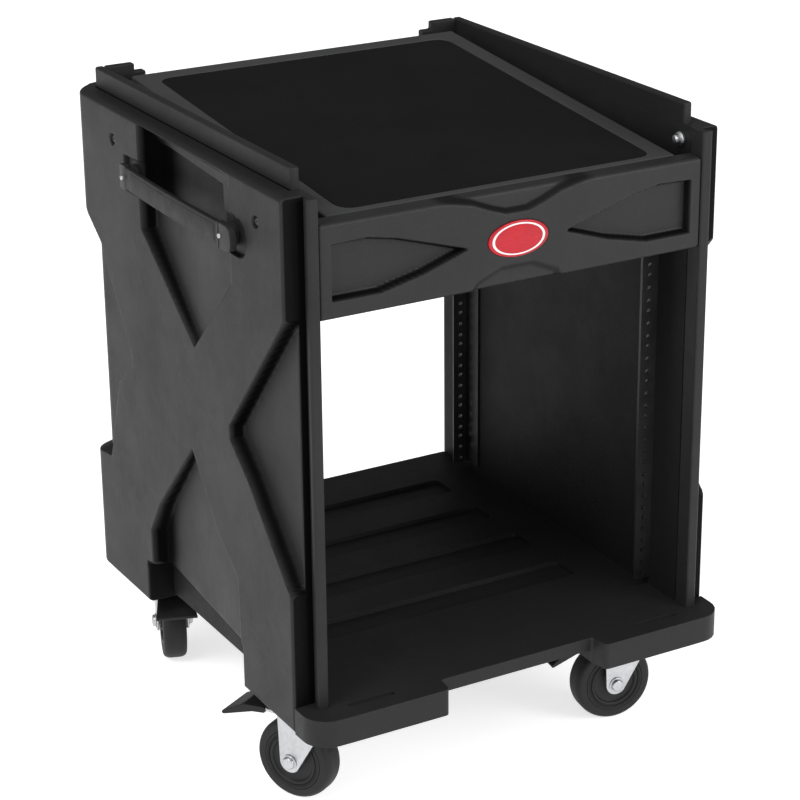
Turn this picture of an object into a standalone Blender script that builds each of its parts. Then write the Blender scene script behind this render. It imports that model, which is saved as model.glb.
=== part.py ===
"""Rolling rack case: a moulded 10U equipment rack with a sloping top tray, on four casters.

Metres, +Z up. The case faces -Y, its width runs along X, and the casters stand on z = 0.
Each sub-part is one object; the casters hang under empties that sit on their swivel axes.
"""
import math

import bmesh
import bpy
from mathutils import Matrix, Vector

# ---- driving dimensions ----
HALF_WIDTH = 0.280          # outer face of a side shell
CASE_DEPTH = 0.606          # front lip of the base to the rear face
CASTER_HEIGHT = 0.127       # floor to the underside of the base (4 inch caster)
SHELL_HEIGHT = 0.627        # underside of the shell to its rim
TONGUE_HEIGHT = 0.025       # lid tongue above the rim
BAY_HALF = 0.245            # inner face of a side shell: clears a 19 inch panel
RACK_UNIT = 0.04445
RACK_UNITS = 10
HOLE_SPACING_HALF = 0.23255  # EIA-310 mounting holes from the centre line
GAP = 0.0003                # clearance between neighbouring solids

# ---- derived planes ----
FRONT = -CASE_DEPTH / 2
REAR = CASE_DEPTH / 2
WALL_FRONT = FRONT + 0.050          # front edge of the side walls
JAMB_FRONT = WALL_FRONT - 0.018     # front face of the door jambs and the fascia
UNDER = CASTER_HEIGHT
FLOOR_TOP = UNDER + 0.033
RIM = UNDER + SHELL_HEIGHT
TONGUE_TOP = RIM + TONGUE_HEIGHT
JAMB_OUTER = HALF_WIDTH - 0.018     # side face of a jamb
TONGUE_OUTER = HALF_WIDTH - 0.023
TONGUE_INNER = BAY_HALF + 0.001
FASCIA_BOTTOM = UNDER + 0.490
FASCIA_TOP = UNDER + 0.600
FASCIA_END = BAY_HALF - GAP

# sloping tray
TRAY_FRONT = WALL_FRONT + 0.0065
TRAY_REAR = WALL_FRONT + 0.500
TRAY_FRONT_TOP = UNDER + 0.598
TRAY_REAR_TOP = UNDER + 0.6435
TRAY_HALF = 0.2245
TRAY_THICK = 0.018
TRAY_SLOPE = (TRAY_REAR_TOP - TRAY_FRONT_TOP) / (TRAY_REAR - TRAY_FRONT)
MAT_HALF = 0.200
MAT_LENGTH = 0.462
MAT_DEPTH = 0.003

# screws in the side shells: back from the wall's front edge, height above the underside
SHELL_SCREWS = ((0.061, 0.586), (0.436, 0.588))
SCREW_HOLE_RADIUS = 0.0065

# strap handles
STRAP_Z = UNDER + 0.556
STRAP_FRONT = 0.078         # ends of the strap behind the wall's front edge
STRAP_REAR = 0.397
STRAP_HALF = 0.014
STRAP_THICK = 0.0065
STRAP_STAND_OFF = 0.0035    # underside of the strap in front of the wall
STRAP_BOW = 0.004           # rise of its middle above its ends
STRAP_DISH = 0.005          # depth of the dish under each end
STRAP_HOLE_FRONT = STRAP_FRONT + 0.046
STRAP_HOLE_REAR = STRAP_REAR - 0.014
# outlines of the two dishes: behind the wall's front edge, above the strap's middle, radius
FRONT_DISH = ((0.1455, -0.021, 0.004), (0.084, -0.019, 0.016), (0.064, 0.006, 0.012),
              (0.090, 0.024, 0.014), (0.1455, 0.021, 0.004))
REAR_DISH = ((0.356, -0.021, 0.004), (0.404, -0.021, 0.006), (0.404, 0.021, 0.006),
             (0.356, 0.021, 0.004))

# badge
BADGE_HALF_WIDTH = 0.0385
BADGE_HALF_HEIGHT = 0.0200
BADGE_Z = UNDER + 0.543

# rack rails
RAIL_FLANGE = 0.0225
RAIL_DEPTH = 0.032
RAIL_THICK = 0.0025
RAIL_BOTTOM = UNDER + 0.0437
FRONT_RAIL_Y = WALL_FRONT + 0.060
REAR_RAIL_Y = REAR - 0.062
RAIL_HOLES = (0.00635, 0.022225, 0.0381)  # hole heights within one rack unit

# the gap between the front and rear feet, back from the wall's front edge
FOOT_GAP_FRONT = 0.131
FOOT_GAP_REAR = 0.393

# casters
WHEEL_RADIUS = 0.050
WHEEL_WIDTH = 0.032
TRAIL = 0.035               # wheel axle behind the swivel axis
FRONT_CASTER = (0.2185, WALL_FRONT + 0.048)  # swivel axis: x on the right side, y
REAR_CASTER = (0.202, WALL_FRONT + 0.510)
PLATE_HALF = (0.033, 0.042)
PLATE_BOLTS = (0.0245, 0.0335)
LEG_GAP_HALF = 0.0180       # inner face of a fork leg from the wheel's plane
LEG_THICK = 0.003
CROWN_LOW = 0.1085          # the fork's top plate
CROWN_HIGH = 0.1125
PEDAL_HINGE = (TRAIL + 0.038, 0.1065)  # distance from the swivel axis, height
PEDAL_LENGTH = 0.053
PEDAL_HALF = 0.017          # half width at the hinge
PEDAL_TIP_HALF = 0.0265
# name: x side, place, direction the wheel trails in (degrees from +X)
CASTERS = {
    "caster_front_left": (-1, FRONT_CASTER, 119.5),
    "caster_front_right": (1, FRONT_CASTER, 171.5),
    "caster_rear_left": (-1, REAR_CASTER, 250.0),
    "caster_rear_right": (1, REAR_CASTER, 240.0),
}

# name: colour, roughness, metallic
MATERIALS = {
    "shell_plastic": ((0.075, 0.076, 0.078), 0.55, 0.0),
    "tray_plastic": ((0.045, 0.045, 0.047), 0.60, 0.0),
    "mat_foam": ((0.012, 0.012, 0.013), 0.90, 0.0),
    "rail_steel": ((0.030, 0.030, 0.032), 0.40, 0.6),
    "zinc_steel": ((0.700, 0.720, 0.730), 0.32, 1.0),
    "handle_rubber": ((0.040, 0.040, 0.042), 0.60, 0.0),
    "handle_cap": ((0.055, 0.055, 0.057), 0.50, 0.0),
    "screw_steel": ((0.050, 0.050, 0.052), 0.35, 0.8),
    "badge_red": ((0.520, 0.012, 0.025), 0.25, 0.0),
    "badge_rim": ((0.800, 0.800, 0.800), 0.30, 0.0),
    "tyre_rubber": ((0.055, 0.055, 0.058), 0.65, 0.0),
    "hub_plastic": ((0.065, 0.065, 0.068), 0.50, 0.0),
    "pedal_plastic": ((0.030, 0.030, 0.032), 0.50, 0.0),
}


# ---- scene, collections and materials ----
def clear_scene():
    for item in list(bpy.data.objects):
        bpy.data.objects.remove(item, do_unlink=True)


def new_collection(name):
    group = bpy.data.collections.new(name)
    bpy.context.scene.collection.children.link(group)
    return group


def material(name):
    """Returns the named Principled material, made on first use."""
    if name in bpy.data.materials:
        return bpy.data.materials[name]
    colour, roughness, metallic = MATERIALS[name]
    made = bpy.data.materials.new(name)
    made.use_nodes = True
    shader = made.node_tree.nodes["Principled BSDF"]
    shader.inputs["Base Color"].default_value = (*colour, 1.0)
    shader.inputs["Roughness"].default_value = roughness
    shader.inputs["Metallic"].default_value = metallic
    return made


# ---- mesh helpers ----
def arc_corner(before, corner, after, radius, steps):
    """Points of the arc of the given radius that rounds one corner of an outline."""
    corner = Vector(corner)
    to_before = (Vector(before) - corner).normalized()
    to_after = (Vector(after) - corner).normalized()
    half = to_before.angle(to_after) / 2
    reach = radius / math.tan(half)
    start = corner + to_before * reach
    end = corner + to_after * reach
    centre = corner + (to_before + to_after).normalized() * (radius / math.sin(half))
    first = start - centre
    turn = first.angle_signed(end - centre)
    points = []
    for step in range(steps + 1):
        spoke = first.copy()
        spoke.rotate(Matrix.Rotation(-turn * step / steps, 2))
        points.append(tuple(centre + spoke))
    return points


def rounded(corners, steps=4):
    """Turns (u, v) and (u, v, radius) corners into an outline with round corners."""
    outline = []
    count = len(corners)
    for index, corner in enumerate(corners):
        if len(corner) == 2:
            outline.append(corner)
            continue
        before = corners[index - 1][:2]
        after = corners[(index + 1) % count][:2]
        outline.extend(arc_corner(before, corner[:2], after, corner[2], steps))
    return outline


# rotation that carries an outline's (u, v) and its thickness onto world axes
PLANES = {
    "XY": Matrix(((1, 0, 0, 0), (0, 1, 0, 0), (0, 0, 1, 0), (0, 0, 0, 1))),
    "YZ": Matrix(((0, 0, 1, 0), (1, 0, 0, 0), (0, 1, 0, 0), (0, 0, 0, 1))),
    "XZ": Matrix(((1, 0, 0, 0), (0, 0, -1, 0), (0, 1, 0, 0), (0, 0, 0, 1))),
}


def prism(name, outline, plane, low, high):
    """Extrudes a flat outline from low to high along the plane's own normal axis."""
    curve = bpy.data.curves.new(name, "CURVE")
    curve.dimensions = "2D"
    curve.fill_mode = "BOTH"
    curve.extrude = abs(high - low) / 2
    spline = curve.splines.new("POLY")
    spline.points.add(len(outline) - 1)
    for point, (u, v) in zip(spline.points, outline):
        point.co = (u, v, 0.0, 1.0)
    spline.use_cyclic_u = True
    holder = bpy.data.objects.new(name + "_outline", curve)
    bpy.context.scene.collection.objects.link(holder)
    middle = (low + high) / 2
    offset = -middle if plane == "XZ" else middle
    mesh = frozen_mesh(holder)
    mesh.transform(PLANES[plane] @ Matrix.Translation((0, 0, offset)))
    bpy.data.objects.remove(holder)
    bpy.data.curves.remove(curve)
    return tidy_mesh(name, mesh)


def frozen_mesh(source):
    graph = bpy.context.evaluated_depsgraph_get()
    graph.update()
    return bpy.data.meshes.new_from_object(source.evaluated_get(graph))


def tidy_mesh(name, mesh):
    """Welds a mesh, joins its flat triangles, turns its faces outward and names it."""
    work = bmesh.new()
    work.from_mesh(mesh)
    bmesh.ops.remove_doubles(work, verts=work.verts, dist=0.00001)
    bmesh.ops.dissolve_limit(work, angle_limit=0.001, verts=work.verts, edges=work.edges)
    bmesh.ops.recalc_face_normals(work, faces=work.faces)
    work.to_mesh(mesh)
    work.free()
    mesh.name = name
    return mesh


def box_mesh(name, low, high):
    work = bmesh.new()
    bmesh.ops.create_cube(work, size=1.0)
    low, high = Vector(low), Vector(high)
    bmesh.ops.scale(work, vec=high - low, verts=work.verts)
    bmesh.ops.translate(work, vec=(low + high) / 2, verts=work.verts)
    mesh = bpy.data.meshes.new(name)
    work.to_mesh(mesh)
    work.free()
    return mesh


def cylinder_mesh(name, radius, low, high, steps=16, top_radius=None):
    """A cylinder or cone along Z from low to high, on the Z axis."""
    work = bmesh.new()
    bmesh.ops.create_cone(
        work, cap_ends=True, segments=steps, radius1=radius,
        radius2=radius if top_radius is None else top_radius, depth=high - low)
    bmesh.ops.translate(work, vec=(0, 0, (low + high) / 2), verts=work.verts)
    mesh = bpy.data.meshes.new(name)
    work.to_mesh(mesh)
    work.free()
    return mesh


def bevel_edges(mesh, chosen, width, segments=2):
    """Rounds the sharp edges for which chosen(edge start, edge end) is true."""
    work = bmesh.new()
    work.from_mesh(mesh)
    edges = [edge for edge in work.edges
             if len(edge.link_faces) == 2 and edge.calc_face_angle() > 0.5
             and chosen(edge.verts[0].co, edge.verts[1].co)]
    bmesh.ops.bevel(work, geom=edges, offset=width, segments=segments, profile=0.5,
                    affect="EDGES", clamp_overlap=True)
    work.to_mesh(mesh)
    work.free()


def add_piece(group, name, mesh, material_name, parent=None, smooth_angle=0.6):
    piece = bpy.data.objects.new(name, mesh)
    group.objects.link(piece)
    mesh.materials.clear()
    mesh.materials.append(material(material_name))
    mesh.shade_smooth()
    mesh.set_sharp_from_angle(angle=smooth_angle)
    piece.parent = parent
    return piece


def add_tool(tools, name, mesh, parent=None):
    """A hidden solid that a Boolean uses."""
    tool = bpy.data.objects.new(name, mesh)
    tools.objects.link(tool)
    tool.hide_render = True
    tool.display_type = "WIRE"
    tool.parent = parent
    return tool


def combine(piece, tool, operation):
    step = piece.modifiers.new(tool.name, "BOOLEAN")
    step.operation = operation
    step.solver = "EXACT"
    step.object = tool


def turned_mesh(name, profile, steps):
    """Turns a closed (radius, height) profile round Z into a ring or a solid."""
    work = bmesh.new()
    ring = [work.verts.new((radius, 0.0, height)) for radius, height in profile]
    for index, vertex in enumerate(ring):
        work.edges.new((vertex, ring[(index + 1) % len(ring)]))
    mesh = bpy.data.meshes.new(name)
    work.to_mesh(mesh)
    work.free()
    holder = bpy.data.objects.new(name + "_profile", mesh)
    bpy.context.scene.collection.objects.link(holder)
    screw = holder.modifiers.new("turn", "SCREW")
    screw.axis = "Z"
    screw.steps = steps
    screw.render_steps = steps
    screw.use_merge_vertices = True
    screw.merge_threshold = 0.00001
    turned = frozen_mesh(holder)
    bpy.data.objects.remove(holder)
    bpy.data.meshes.remove(mesh)
    return tidy_mesh(name, turned)


# ---- side shells ----
def wall_plan(side):
    """Plan of a side wall with its front jamb, door seal groove and round rear post."""
    groove_in = JAMB_OUTER - 0.008
    line = JAMB_FRONT + 0.0027
    corners = [
        (HALF_WIDTH, WALL_FRONT, 0.003),
        (groove_in, WALL_FRONT),
        (groove_in, WALL_FRONT - 0.011),
        (JAMB_OUTER, WALL_FRONT - 0.011),
        (JAMB_OUTER, JAMB_FRONT, 0.0045),
        (BAY_HALF + 0.0065, JAMB_FRONT),
        (BAY_HALF + 0.0065, line),
        (BAY_HALF + 0.0045, line),
        (BAY_HALF + 0.0045, JAMB_FRONT),
        (BAY_HALF, JAMB_FRONT, 0.0015),
        (BAY_HALF, REAR, 0.003),
        (HALF_WIDTH, REAR, 0.033),
    ]
    return rounded([(side * corner[0], *corner[1:]) for corner in corners])


def relief_cutter(name, outline, deep_rear, deep_front, side):
    """A shallow recess in a side wall whose floor ramps from its rear to its front.

    outline holds (distance behind the wall's front edge, height above the underside).
    """
    points = [(WALL_FRONT + back, UNDER + up) for back, up in outline]
    rear = max(point[0] for point in points)
    front = min(point[0] for point in points)
    mesh = prism(name, points, "YZ", 0.0, 0.03)
    for vertex in mesh.vertices:
        share = (vertex.co.y - front) / (rear - front)
        depth = deep_front + (deep_rear - deep_front) * share
        outer = vertex.co.x > 0.015
        vertex.co.x = side * (HALF_WIDTH + 0.01 if outer else HALF_WIDTH - depth)
    return tidy_mesh(name, mesh)


def top_relief():
    return [(0.362, 0.640), (0.362, 0.497), (0.228, 0.394), (0.124, 0.497), (0.124, 0.640)]


def bottom_relief():
    return [(0.131, -0.02), (0.136, 0.137), (0.187, 0.178), (0.247, 0.258), (0.345, 0.152),
            (0.376, 0.105), (0.376, -0.02)]


def front_relief():
    return [(-0.02, 0.514), (0.142, 0.325), (0.142, 0.309), (0.100, 0.275), (-0.02, 0.148)]


def rear_relief():
    depth = REAR - WALL_FRONT
    return [(depth + 0.02, 0.494), (depth - 0.142, 0.325), (depth - 0.142, 0.309),
            (depth - 0.100, 0.275), (depth + 0.02, 0.138)]


def hand_pocket(side):
    corners = [(0.142, 0.535, 0.010), (0.345, 0.535, 0.010), (0.345, 0.607, 0.012),
               (0.142, 0.607, 0.012)]
    outline = rounded([(WALL_FRONT + back, UNDER + up, radius) for back, up, radius in corners])
    low, high = sorted((side * (HALF_WIDTH - 0.026), side * (HALF_WIDTH + 0.01)))
    return prism("hand_pocket", outline, "YZ", low, high)


def strap_dish(side, outline):
    """The shallow dish round one end of the strap handle."""
    points = [(WALL_FRONT + back, STRAP_Z + up, radius) for back, up, radius in outline]
    low, high = sorted((side * (HALF_WIDTH - STRAP_DISH), side * (HALF_WIDTH + 0.01)))
    return prism("strap_dish", rounded(points), "YZ", low, high)


def foot_gap(name, height, low, high):
    """Cutter for the gap between the front and rear feet, from x low to x high."""
    front, rear = WALL_FRONT + FOOT_GAP_FRONT, WALL_FRONT + FOOT_GAP_REAR
    outline = rounded([(front, UNDER - 0.02), (front, UNDER + height, 0.006),
                       (rear, UNDER + height, 0.006), (rear, UNDER - 0.02)])
    return prism(name, outline, "YZ", low, high)


def foot_arch(side):
    low, high = sorted((side * (BAY_HALF - 0.02), side * (HALF_WIDTH + 0.02)))
    return foot_gap("foot_arch", 0.057, low, high)


def tray_ledge(side):
    """The rib inside a side wall that carries the edge of the tray."""
    front, rear = TRAY_FRONT + 0.022, REAR - 0.0615
    drop = TRAY_THICK + GAP

    def height(y):
        return TRAY_FRONT_TOP + (y - TRAY_FRONT) * TRAY_SLOPE - drop

    outline = [(front, height(front)), (rear, height(rear)), (rear, height(rear) - 0.012),
               (front, height(front) - 0.012)]
    low, high = sorted((side * (TRAY_HALF - 0.010), side * (BAY_HALF + 0.006)))
    return prism("tray_ledge", outline, "YZ", low, high)


def tongue_mesh(side):
    """The raised lip along the rim that locates the lid."""
    low, high = sorted((side * TONGUE_INNER, side * TONGUE_OUTER))
    mesh = box_mesh("lid_tongue", (low, WALL_FRONT + 0.021, RIM - 0.006),
                    (high, WALL_FRONT + 0.534, TONGUE_TOP))
    bevel_edges(mesh, lambda a, b: min(a.z, b.z) > RIM or abs(a.z - b.z) > 0.01, 0.0025)
    return mesh


def make_side_shell(group, tools, label, side):
    wall = prism("side_shell_" + label, wall_plan(side), "XY", UNDER, RIM)
    bevel_edges(
        wall,
        lambda a, b: (min(a.z, b.z) > RIM - 0.001 and min(abs(a.x), abs(b.x)) > JAMB_OUTER + 0.001
                      and max(a.y, b.y) > WALL_FRONT + 0.004),
        0.005, 3)
    shell = add_piece(group, "side_shell_" + label, wall, "shell_plastic")
    corner = side * (HALF_WIDTH + 0.02)
    inner = side * (BAY_HALF - 0.02)
    foot = box_mesh("jamb_foot", (min(corner, inner), JAMB_FRONT - 0.02, UNDER - 0.02),
                    (max(corner, inner), WALL_FRONT, FLOOR_TOP + GAP))
    cuts = {
        "foot": foot,
        "arch": foot_arch(side),
        "top_relief": relief_cutter("top_relief", top_relief(), 0.019, 0.001, side),
        "bottom_relief": relief_cutter("bottom_relief", bottom_relief(), 0.021, 0.002, side),
        "front_relief": relief_cutter("front_relief", front_relief(), 0.0175, 0.0175, side),
        "rear_relief": relief_cutter("rear_relief", rear_relief(), 0.0175, 0.0175, side),
        "pocket": hand_pocket(side),
        "front_dish": strap_dish(side, FRONT_DISH),
        "rear_dish": strap_dish(side, REAR_DISH),
        "front_screw": shell_screw_hole(side, SHELL_SCREWS[0]),
        "rear_screw": shell_screw_hole(side, SHELL_SCREWS[1]),
    }
    for name, mesh in cuts.items():
        combine(shell, add_tool(tools, label + "_" + name, mesh), "DIFFERENCE")
    combine(shell, add_tool(tools, label + "_tongue", tongue_mesh(side)), "UNION")
    combine(shell, add_tool(tools, label + "_ledge", tray_ledge(side)), "UNION")
    return shell


# ---- shell screws ----
def on_wall(mesh, side, back, up, out):
    """Lays a mesh made along +Z against a side wall, its origin `out` from the face."""
    turn = Matrix.Rotation(side * math.pi / 2, 4, "Y")
    place = Matrix.Translation((side * (HALF_WIDTH + out), WALL_FRONT + back, UNDER + up))
    mesh.transform(place @ turn)
    return mesh


def shell_screw_hole(side, spot):
    return on_wall(cylinder_mesh("screw_hole", SCREW_HOLE_RADIUS, -0.006, 0.01, 12), side, *spot, 0.0)


def make_shell_screws(group, label, side):
    profile = [(0.0, -0.0057), (0.0055, -0.0057), (0.0055, -0.0035), (0.0035, -0.0020),
               (0.0020, -0.0020), (0.0015, -0.0032), (0.0, -0.0032)]
    for place, spot in zip(("front", "rear"), SHELL_SCREWS):
        head = on_wall(solid_of_revolution("shell_screw", profile, 10), side, *spot, 0.0)
        add_piece(group, "shell_screw_" + label + "_" + place, head, "screw_steel")


def solid_of_revolution(name, profile, steps):
    """Turns an open (radius, height) profile, from axis to axis, round Z."""
    work = bmesh.new()
    chain = [work.verts.new((radius, 0.0, height)) for radius, height in profile]
    for start, end in zip(chain, chain[1:]):
        work.edges.new((start, end))
    bmesh.ops.spin(work, geom=list(work.verts) + list(work.edges), axis=(0, 0, 1),
                   cent=(0, 0, 0), steps=steps, angle=2 * math.pi, use_merge=True)
    mesh = bpy.data.meshes.new(name)
    work.to_mesh(mesh)
    work.free()
    return tidy_mesh(name, mesh)


# ---- strap handles ----
def strap_outline():
    """Side view of the strap: straight, with a tapered front end and a blunt rear end."""
    front, rear = WALL_FRONT + STRAP_FRONT + 0.020, WALL_FRONT + STRAP_REAR - 0.004
    return rounded([
        (front, STRAP_Z - STRAP_HALF, 0.010), (rear, STRAP_Z - STRAP_HALF, 0.004),
        (rear, STRAP_Z + STRAP_HALF, 0.004), (front, STRAP_Z + STRAP_HALF, 0.010)])


def bow_outward(mesh, side, rise):
    """Bends a strap along Y so that its middle stands further off the wall."""
    start = WALL_FRONT + STRAP_FRONT
    length = STRAP_REAR - STRAP_FRONT
    for vertex in mesh.vertices:
        share = (vertex.co.y - start) / length
        vertex.co.x += side * rise * math.sin(math.pi * min(max(share, 0.0), 1.0))


def strap_mesh(side):
    low = side * (HALF_WIDTH + STRAP_STAND_OFF)
    high = low + side * STRAP_THICK
    mesh = prism("handle_strap", strap_outline(), "YZ", min(low, high), max(low, high))
    outer = side * high - 0.0005
    bevel_edges(mesh, lambda a, b: min(side * a.x, side * b.x) > outer, 0.002, 2)
    slices = 10
    work = bmesh.new()
    work.from_mesh(mesh)
    start, length = WALL_FRONT + STRAP_FRONT + 0.03, STRAP_REAR - STRAP_FRONT - 0.04
    for index in range(slices + 1):
        spot = Vector((0, start + length * index / slices, 0))
        bmesh.ops.bisect_plane(work, geom=work.verts[:] + work.edges[:] + work.faces[:],
                               plane_co=spot, plane_no=(0, 1, 0), dist=0.00001)
    work.to_mesh(mesh)
    work.free()
    bow_outward(mesh, side, STRAP_BOW)
    return mesh


def make_handle(group, tools, label, side):
    strap = add_piece(group, "handle_strap_" + label, strap_mesh(side), "handle_rubber")
    for place, back in (("front", STRAP_HOLE_FRONT), ("rear", STRAP_HOLE_REAR)):
        up = STRAP_Z - UNDER
        bore = on_wall(cylinder_mesh("strap_bore", 0.0033, -0.01, 0.03, 12), side, back, up, 0.0)
        combine(strap, add_tool(tools, "strap_bore_" + label + "_" + place, bore), "DIFFERENCE")
        make_strap_mount(group, label, side, place, back)


def make_strap_mount(group, label, side, place, back):
    """The spacer pad under one end of a strap and the screw that holds it."""
    up = STRAP_Z - UNDER
    pad = solid_of_revolution("strap_pad", [
        (0.0, -STRAP_DISH + GAP), (0.0135, -STRAP_DISH + GAP), (0.0135, STRAP_STAND_OFF - 0.0010),
        (0.0125, STRAP_STAND_OFF - GAP), (0.0, STRAP_STAND_OFF - GAP)], 16)
    on_wall(pad, side, back, up, 0.0)
    add_piece(group, "handle_pad_" + label + "_" + place, pad, "handle_cap")
    lift = STRAP_BOW * math.sin(math.pi * (back - STRAP_FRONT) / (STRAP_REAR - STRAP_FRONT))
    seat = STRAP_STAND_OFF + STRAP_THICK + lift + GAP + 0.0003
    shank = STRAP_STAND_OFF
    screw = solid_of_revolution("strap_screw", [
        (0.0, shank), (0.0029, shank), (0.0029, seat), (0.0060, seat), (0.0058, seat + 0.0014),
        (0.0042, seat + 0.0026), (0.0018, seat + 0.0030), (0.0012, seat + 0.0018),
        (0.0, seat + 0.0018)], 10)
    on_wall(screw, side, back, up, 0.0)
    add_piece(group, "handle_screw_" + label + "_" + place, screw, "zinc_steel")


# ---- base ----
def base_plan():
    inner = BAY_HALF - GAP
    seam = WALL_FRONT - GAP
    notch = 0.107
    corner = 0.047
    half = [
        (notch - 0.003, FRONT + 0.025, 0.004),
        (notch, FRONT, 0.006),
        (HALF_WIDTH, FRONT, corner),
        (HALF_WIDTH, seam),
        (inner, seam),
        (inner, REAR, 0.003),
    ]
    mirrored = [(-point[0], *point[1:]) for point in reversed(half)]
    return rounded(half + mirrored, 6)


def make_base(group, tools):
    mesh = prism("base_tub", base_plan(), "XY", UNDER, FLOOR_TOP)
    front_only = WALL_FRONT - 0.002
    bevel_edges(
        mesh,
        lambda a, b: max(a.y, b.y) < front_only and abs(a.z - b.z) < 0.001, 0.005, 3)
    base = add_piece(group, "base_tub", mesh, "shell_plastic")
    under_notch = prism("under_notch", rounded([
        (-0.1035, FRONT - 0.02), (0.1035, FRONT - 0.02), (0.1035, FRONT + 0.075, 0.010),
        (-0.1035, FRONT + 0.075, 0.010)]), "XY", UNDER - 0.02, UNDER + 0.016)
    combine(base, add_tool(tools, "base_under_notch", under_notch), "DIFFERENCE")
    under_bay = foot_gap("under_bay", 0.019, -HALF_WIDTH, HALF_WIDTH)
    combine(base, add_tool(tools, "base_under_bay", under_bay), "DIFFERENCE")
    for side in (-1, 1):
        slot = prism("lip_slot", rounded([
            (side * 0.165, FRONT + 0.022, 0.0035), (side * 0.225, FRONT + 0.022, 0.0035),
            (side * 0.225, FRONT + 0.0295, 0.0035), (side * 0.165, FRONT + 0.0295, 0.0035)], 3),
            "XY", FLOOR_TOP - 0.003, FLOOR_TOP + 0.01)
        combine(base, add_tool(tools, "base_lip_slot_%d" % (side + 1), slot), "DIFFERENCE")
    for index in range(4):
        y = WALL_FRONT + 0.130 + 0.100 * index
        rib = prism("floor_channel", rounded([
            (-0.185, y, 0.008), (0.185, y, 0.008), (0.185, y + 0.045, 0.008),
            (-0.185, y + 0.045, 0.008)], 3), "XY", FLOOR_TOP - 0.006, FLOOR_TOP + 0.01)
        combine(base, add_tool(tools, "base_floor_channel_%d" % index, rib), "DIFFERENCE")
    return base


# ---- fascias ----
def fascia_relief(name, outline, depth, mirror=1):
    """A recess in the front of the fascia; outline holds (x, height above the underside)."""
    points = [(mirror * x, UNDER + up) for x, up in outline]
    return prism(name, points, "XZ", JAMB_FRONT - 0.01, JAMB_FRONT + depth)


def make_front_fascia(group, tools):
    back = JAMB_FRONT + 0.045
    step = TRAY_FRONT - 0.0005
    ledge = TRAY_FRONT_TOP - TRAY_THICK - 0.001
    section = rounded([
        (JAMB_FRONT, FASCIA_BOTTOM, 0.006), (back, FASCIA_BOTTOM, 0.004), (back, ledge),
        (step, ledge), (step, FASCIA_TOP, 0.006), (JAMB_FRONT, FASCIA_TOP, 0.012)], 5)
    mesh = prism("front_fascia", section, "YZ", -FASCIA_END, FASCIA_END)
    bevel_edges(
        mesh, lambda a, b: min(abs(a.x), abs(b.x)) > FASCIA_END - 0.001
        and min(a.y, b.y) < JAMB_FRONT + 0.014, 0.003, 2)
    fascia = add_piece(group, "front_fascia", mesh, "shell_plastic")
    side_kite = rounded([
        (0.230, 0.511, 0.008), (0.172, 0.511, 0.010), (0.118, 0.523, 0.010),
        (0.064, 0.541, 0.004), (0.150, 0.567, 0.010), (0.186, 0.574, 0.010),
        (0.230, 0.573, 0.010)], 3)
    top_bay = [(-0.090, 0.620), (-0.074, 0.5915), (-0.036, 0.5755), (0.0, 0.5685),
               (0.036, 0.5755), (0.074, 0.5915), (0.090, 0.620)]
    bottom_bay = [(-0.064, 0.480), (-0.052, 0.500), (-0.020, 0.5135), (0.020, 0.5135),
                  (0.052, 0.500), (0.064, 0.480)]
    cuts = {
        "kite_left": fascia_relief("kite", side_kite, 0.0075, -1),
        "kite_right": fascia_relief("kite", side_kite, 0.0075),
        "top_bay": fascia_relief("top_bay", top_bay, 0.0060),
        "bottom_bay": fascia_relief("bottom_bay", bottom_bay, 0.0035),
        "badge_seat": badge_mesh("badge_seat", 0.0015, 0.010, 0.0015),
    }
    for name, cutter in cuts.items():
        combine(fascia, add_tool(tools, "fascia_" + name, cutter), "DIFFERENCE")
    return fascia


def make_rear_fascia(group, tools):
    """The rear beam, with the upstands that carry the lid tongue round the corners."""
    front = REAR - 0.060
    step = TRAY_REAR + 0.0005
    ledge = TRAY_REAR_TOP - TRAY_THICK - 0.0025
    section = rounded([
        (REAR, RIM, 0.008), (step, RIM, 0.002), (step, ledge), (front, ledge - 0.001),
        (front, FASCIA_BOTTOM, 0.004), (REAR, FASCIA_BOTTOM, 0.006)], 4)
    mesh = prism("rear_fascia", section, "YZ", -FASCIA_END, FASCIA_END)
    fascia = add_piece(group, "rear_fascia", mesh, "shell_plastic")
    low_end, high_end = 0.195, 0.209
    for side in (-1, 1):
        outline = [(side * FASCIA_END, RIM - 0.010), (side * FASCIA_END, TONGUE_TOP),
                   (side * high_end, TONGUE_TOP), (side * high_end, TONGUE_TOP - 0.010),
                   (side * low_end, TONGUE_TOP - 0.010), (side * low_end, RIM - 0.010)]
        upstand = prism("upstand", outline, "XZ", WALL_FRONT + 0.523, WALL_FRONT + 0.534)
        bevel_edges(upstand, lambda a, b: min(a.z, b.z) > TONGUE_TOP - 0.011, 0.002)
        combine(fascia, add_tool(tools, "upstand_%d" % (side + 1), upstand), "UNION")
    for side in (-1, 1):
        outline = [(side * 0.215, UNDER + 0.515), (side * 0.060, UNDER + 0.535),
                   (side * 0.060, UNDER + 0.575), (side * 0.215, UNDER + 0.595)]
        relief = prism("rear_relief", outline, "XZ", REAR - 0.007, REAR + 0.01)
        combine(fascia, add_tool(tools, "rear_fascia_relief_%d" % (side + 1), relief), "DIFFERENCE")
    return fascia


# ---- badge ----
def badge_mesh(name, grow, front_out, back_in):
    """An oval plate on the fascia, from front_out before its face to back_in behind it."""
    steps = 28
    outline = []
    for step in range(steps):
        angle = 2 * math.pi * step / steps
        outline.append(((BADGE_HALF_WIDTH + grow) * math.cos(angle),
                        BADGE_Z + (BADGE_HALF_HEIGHT + grow) * math.sin(angle)))
    return prism(name, outline, "XZ", JAMB_FRONT - front_out, JAMB_FRONT + back_in)


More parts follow.
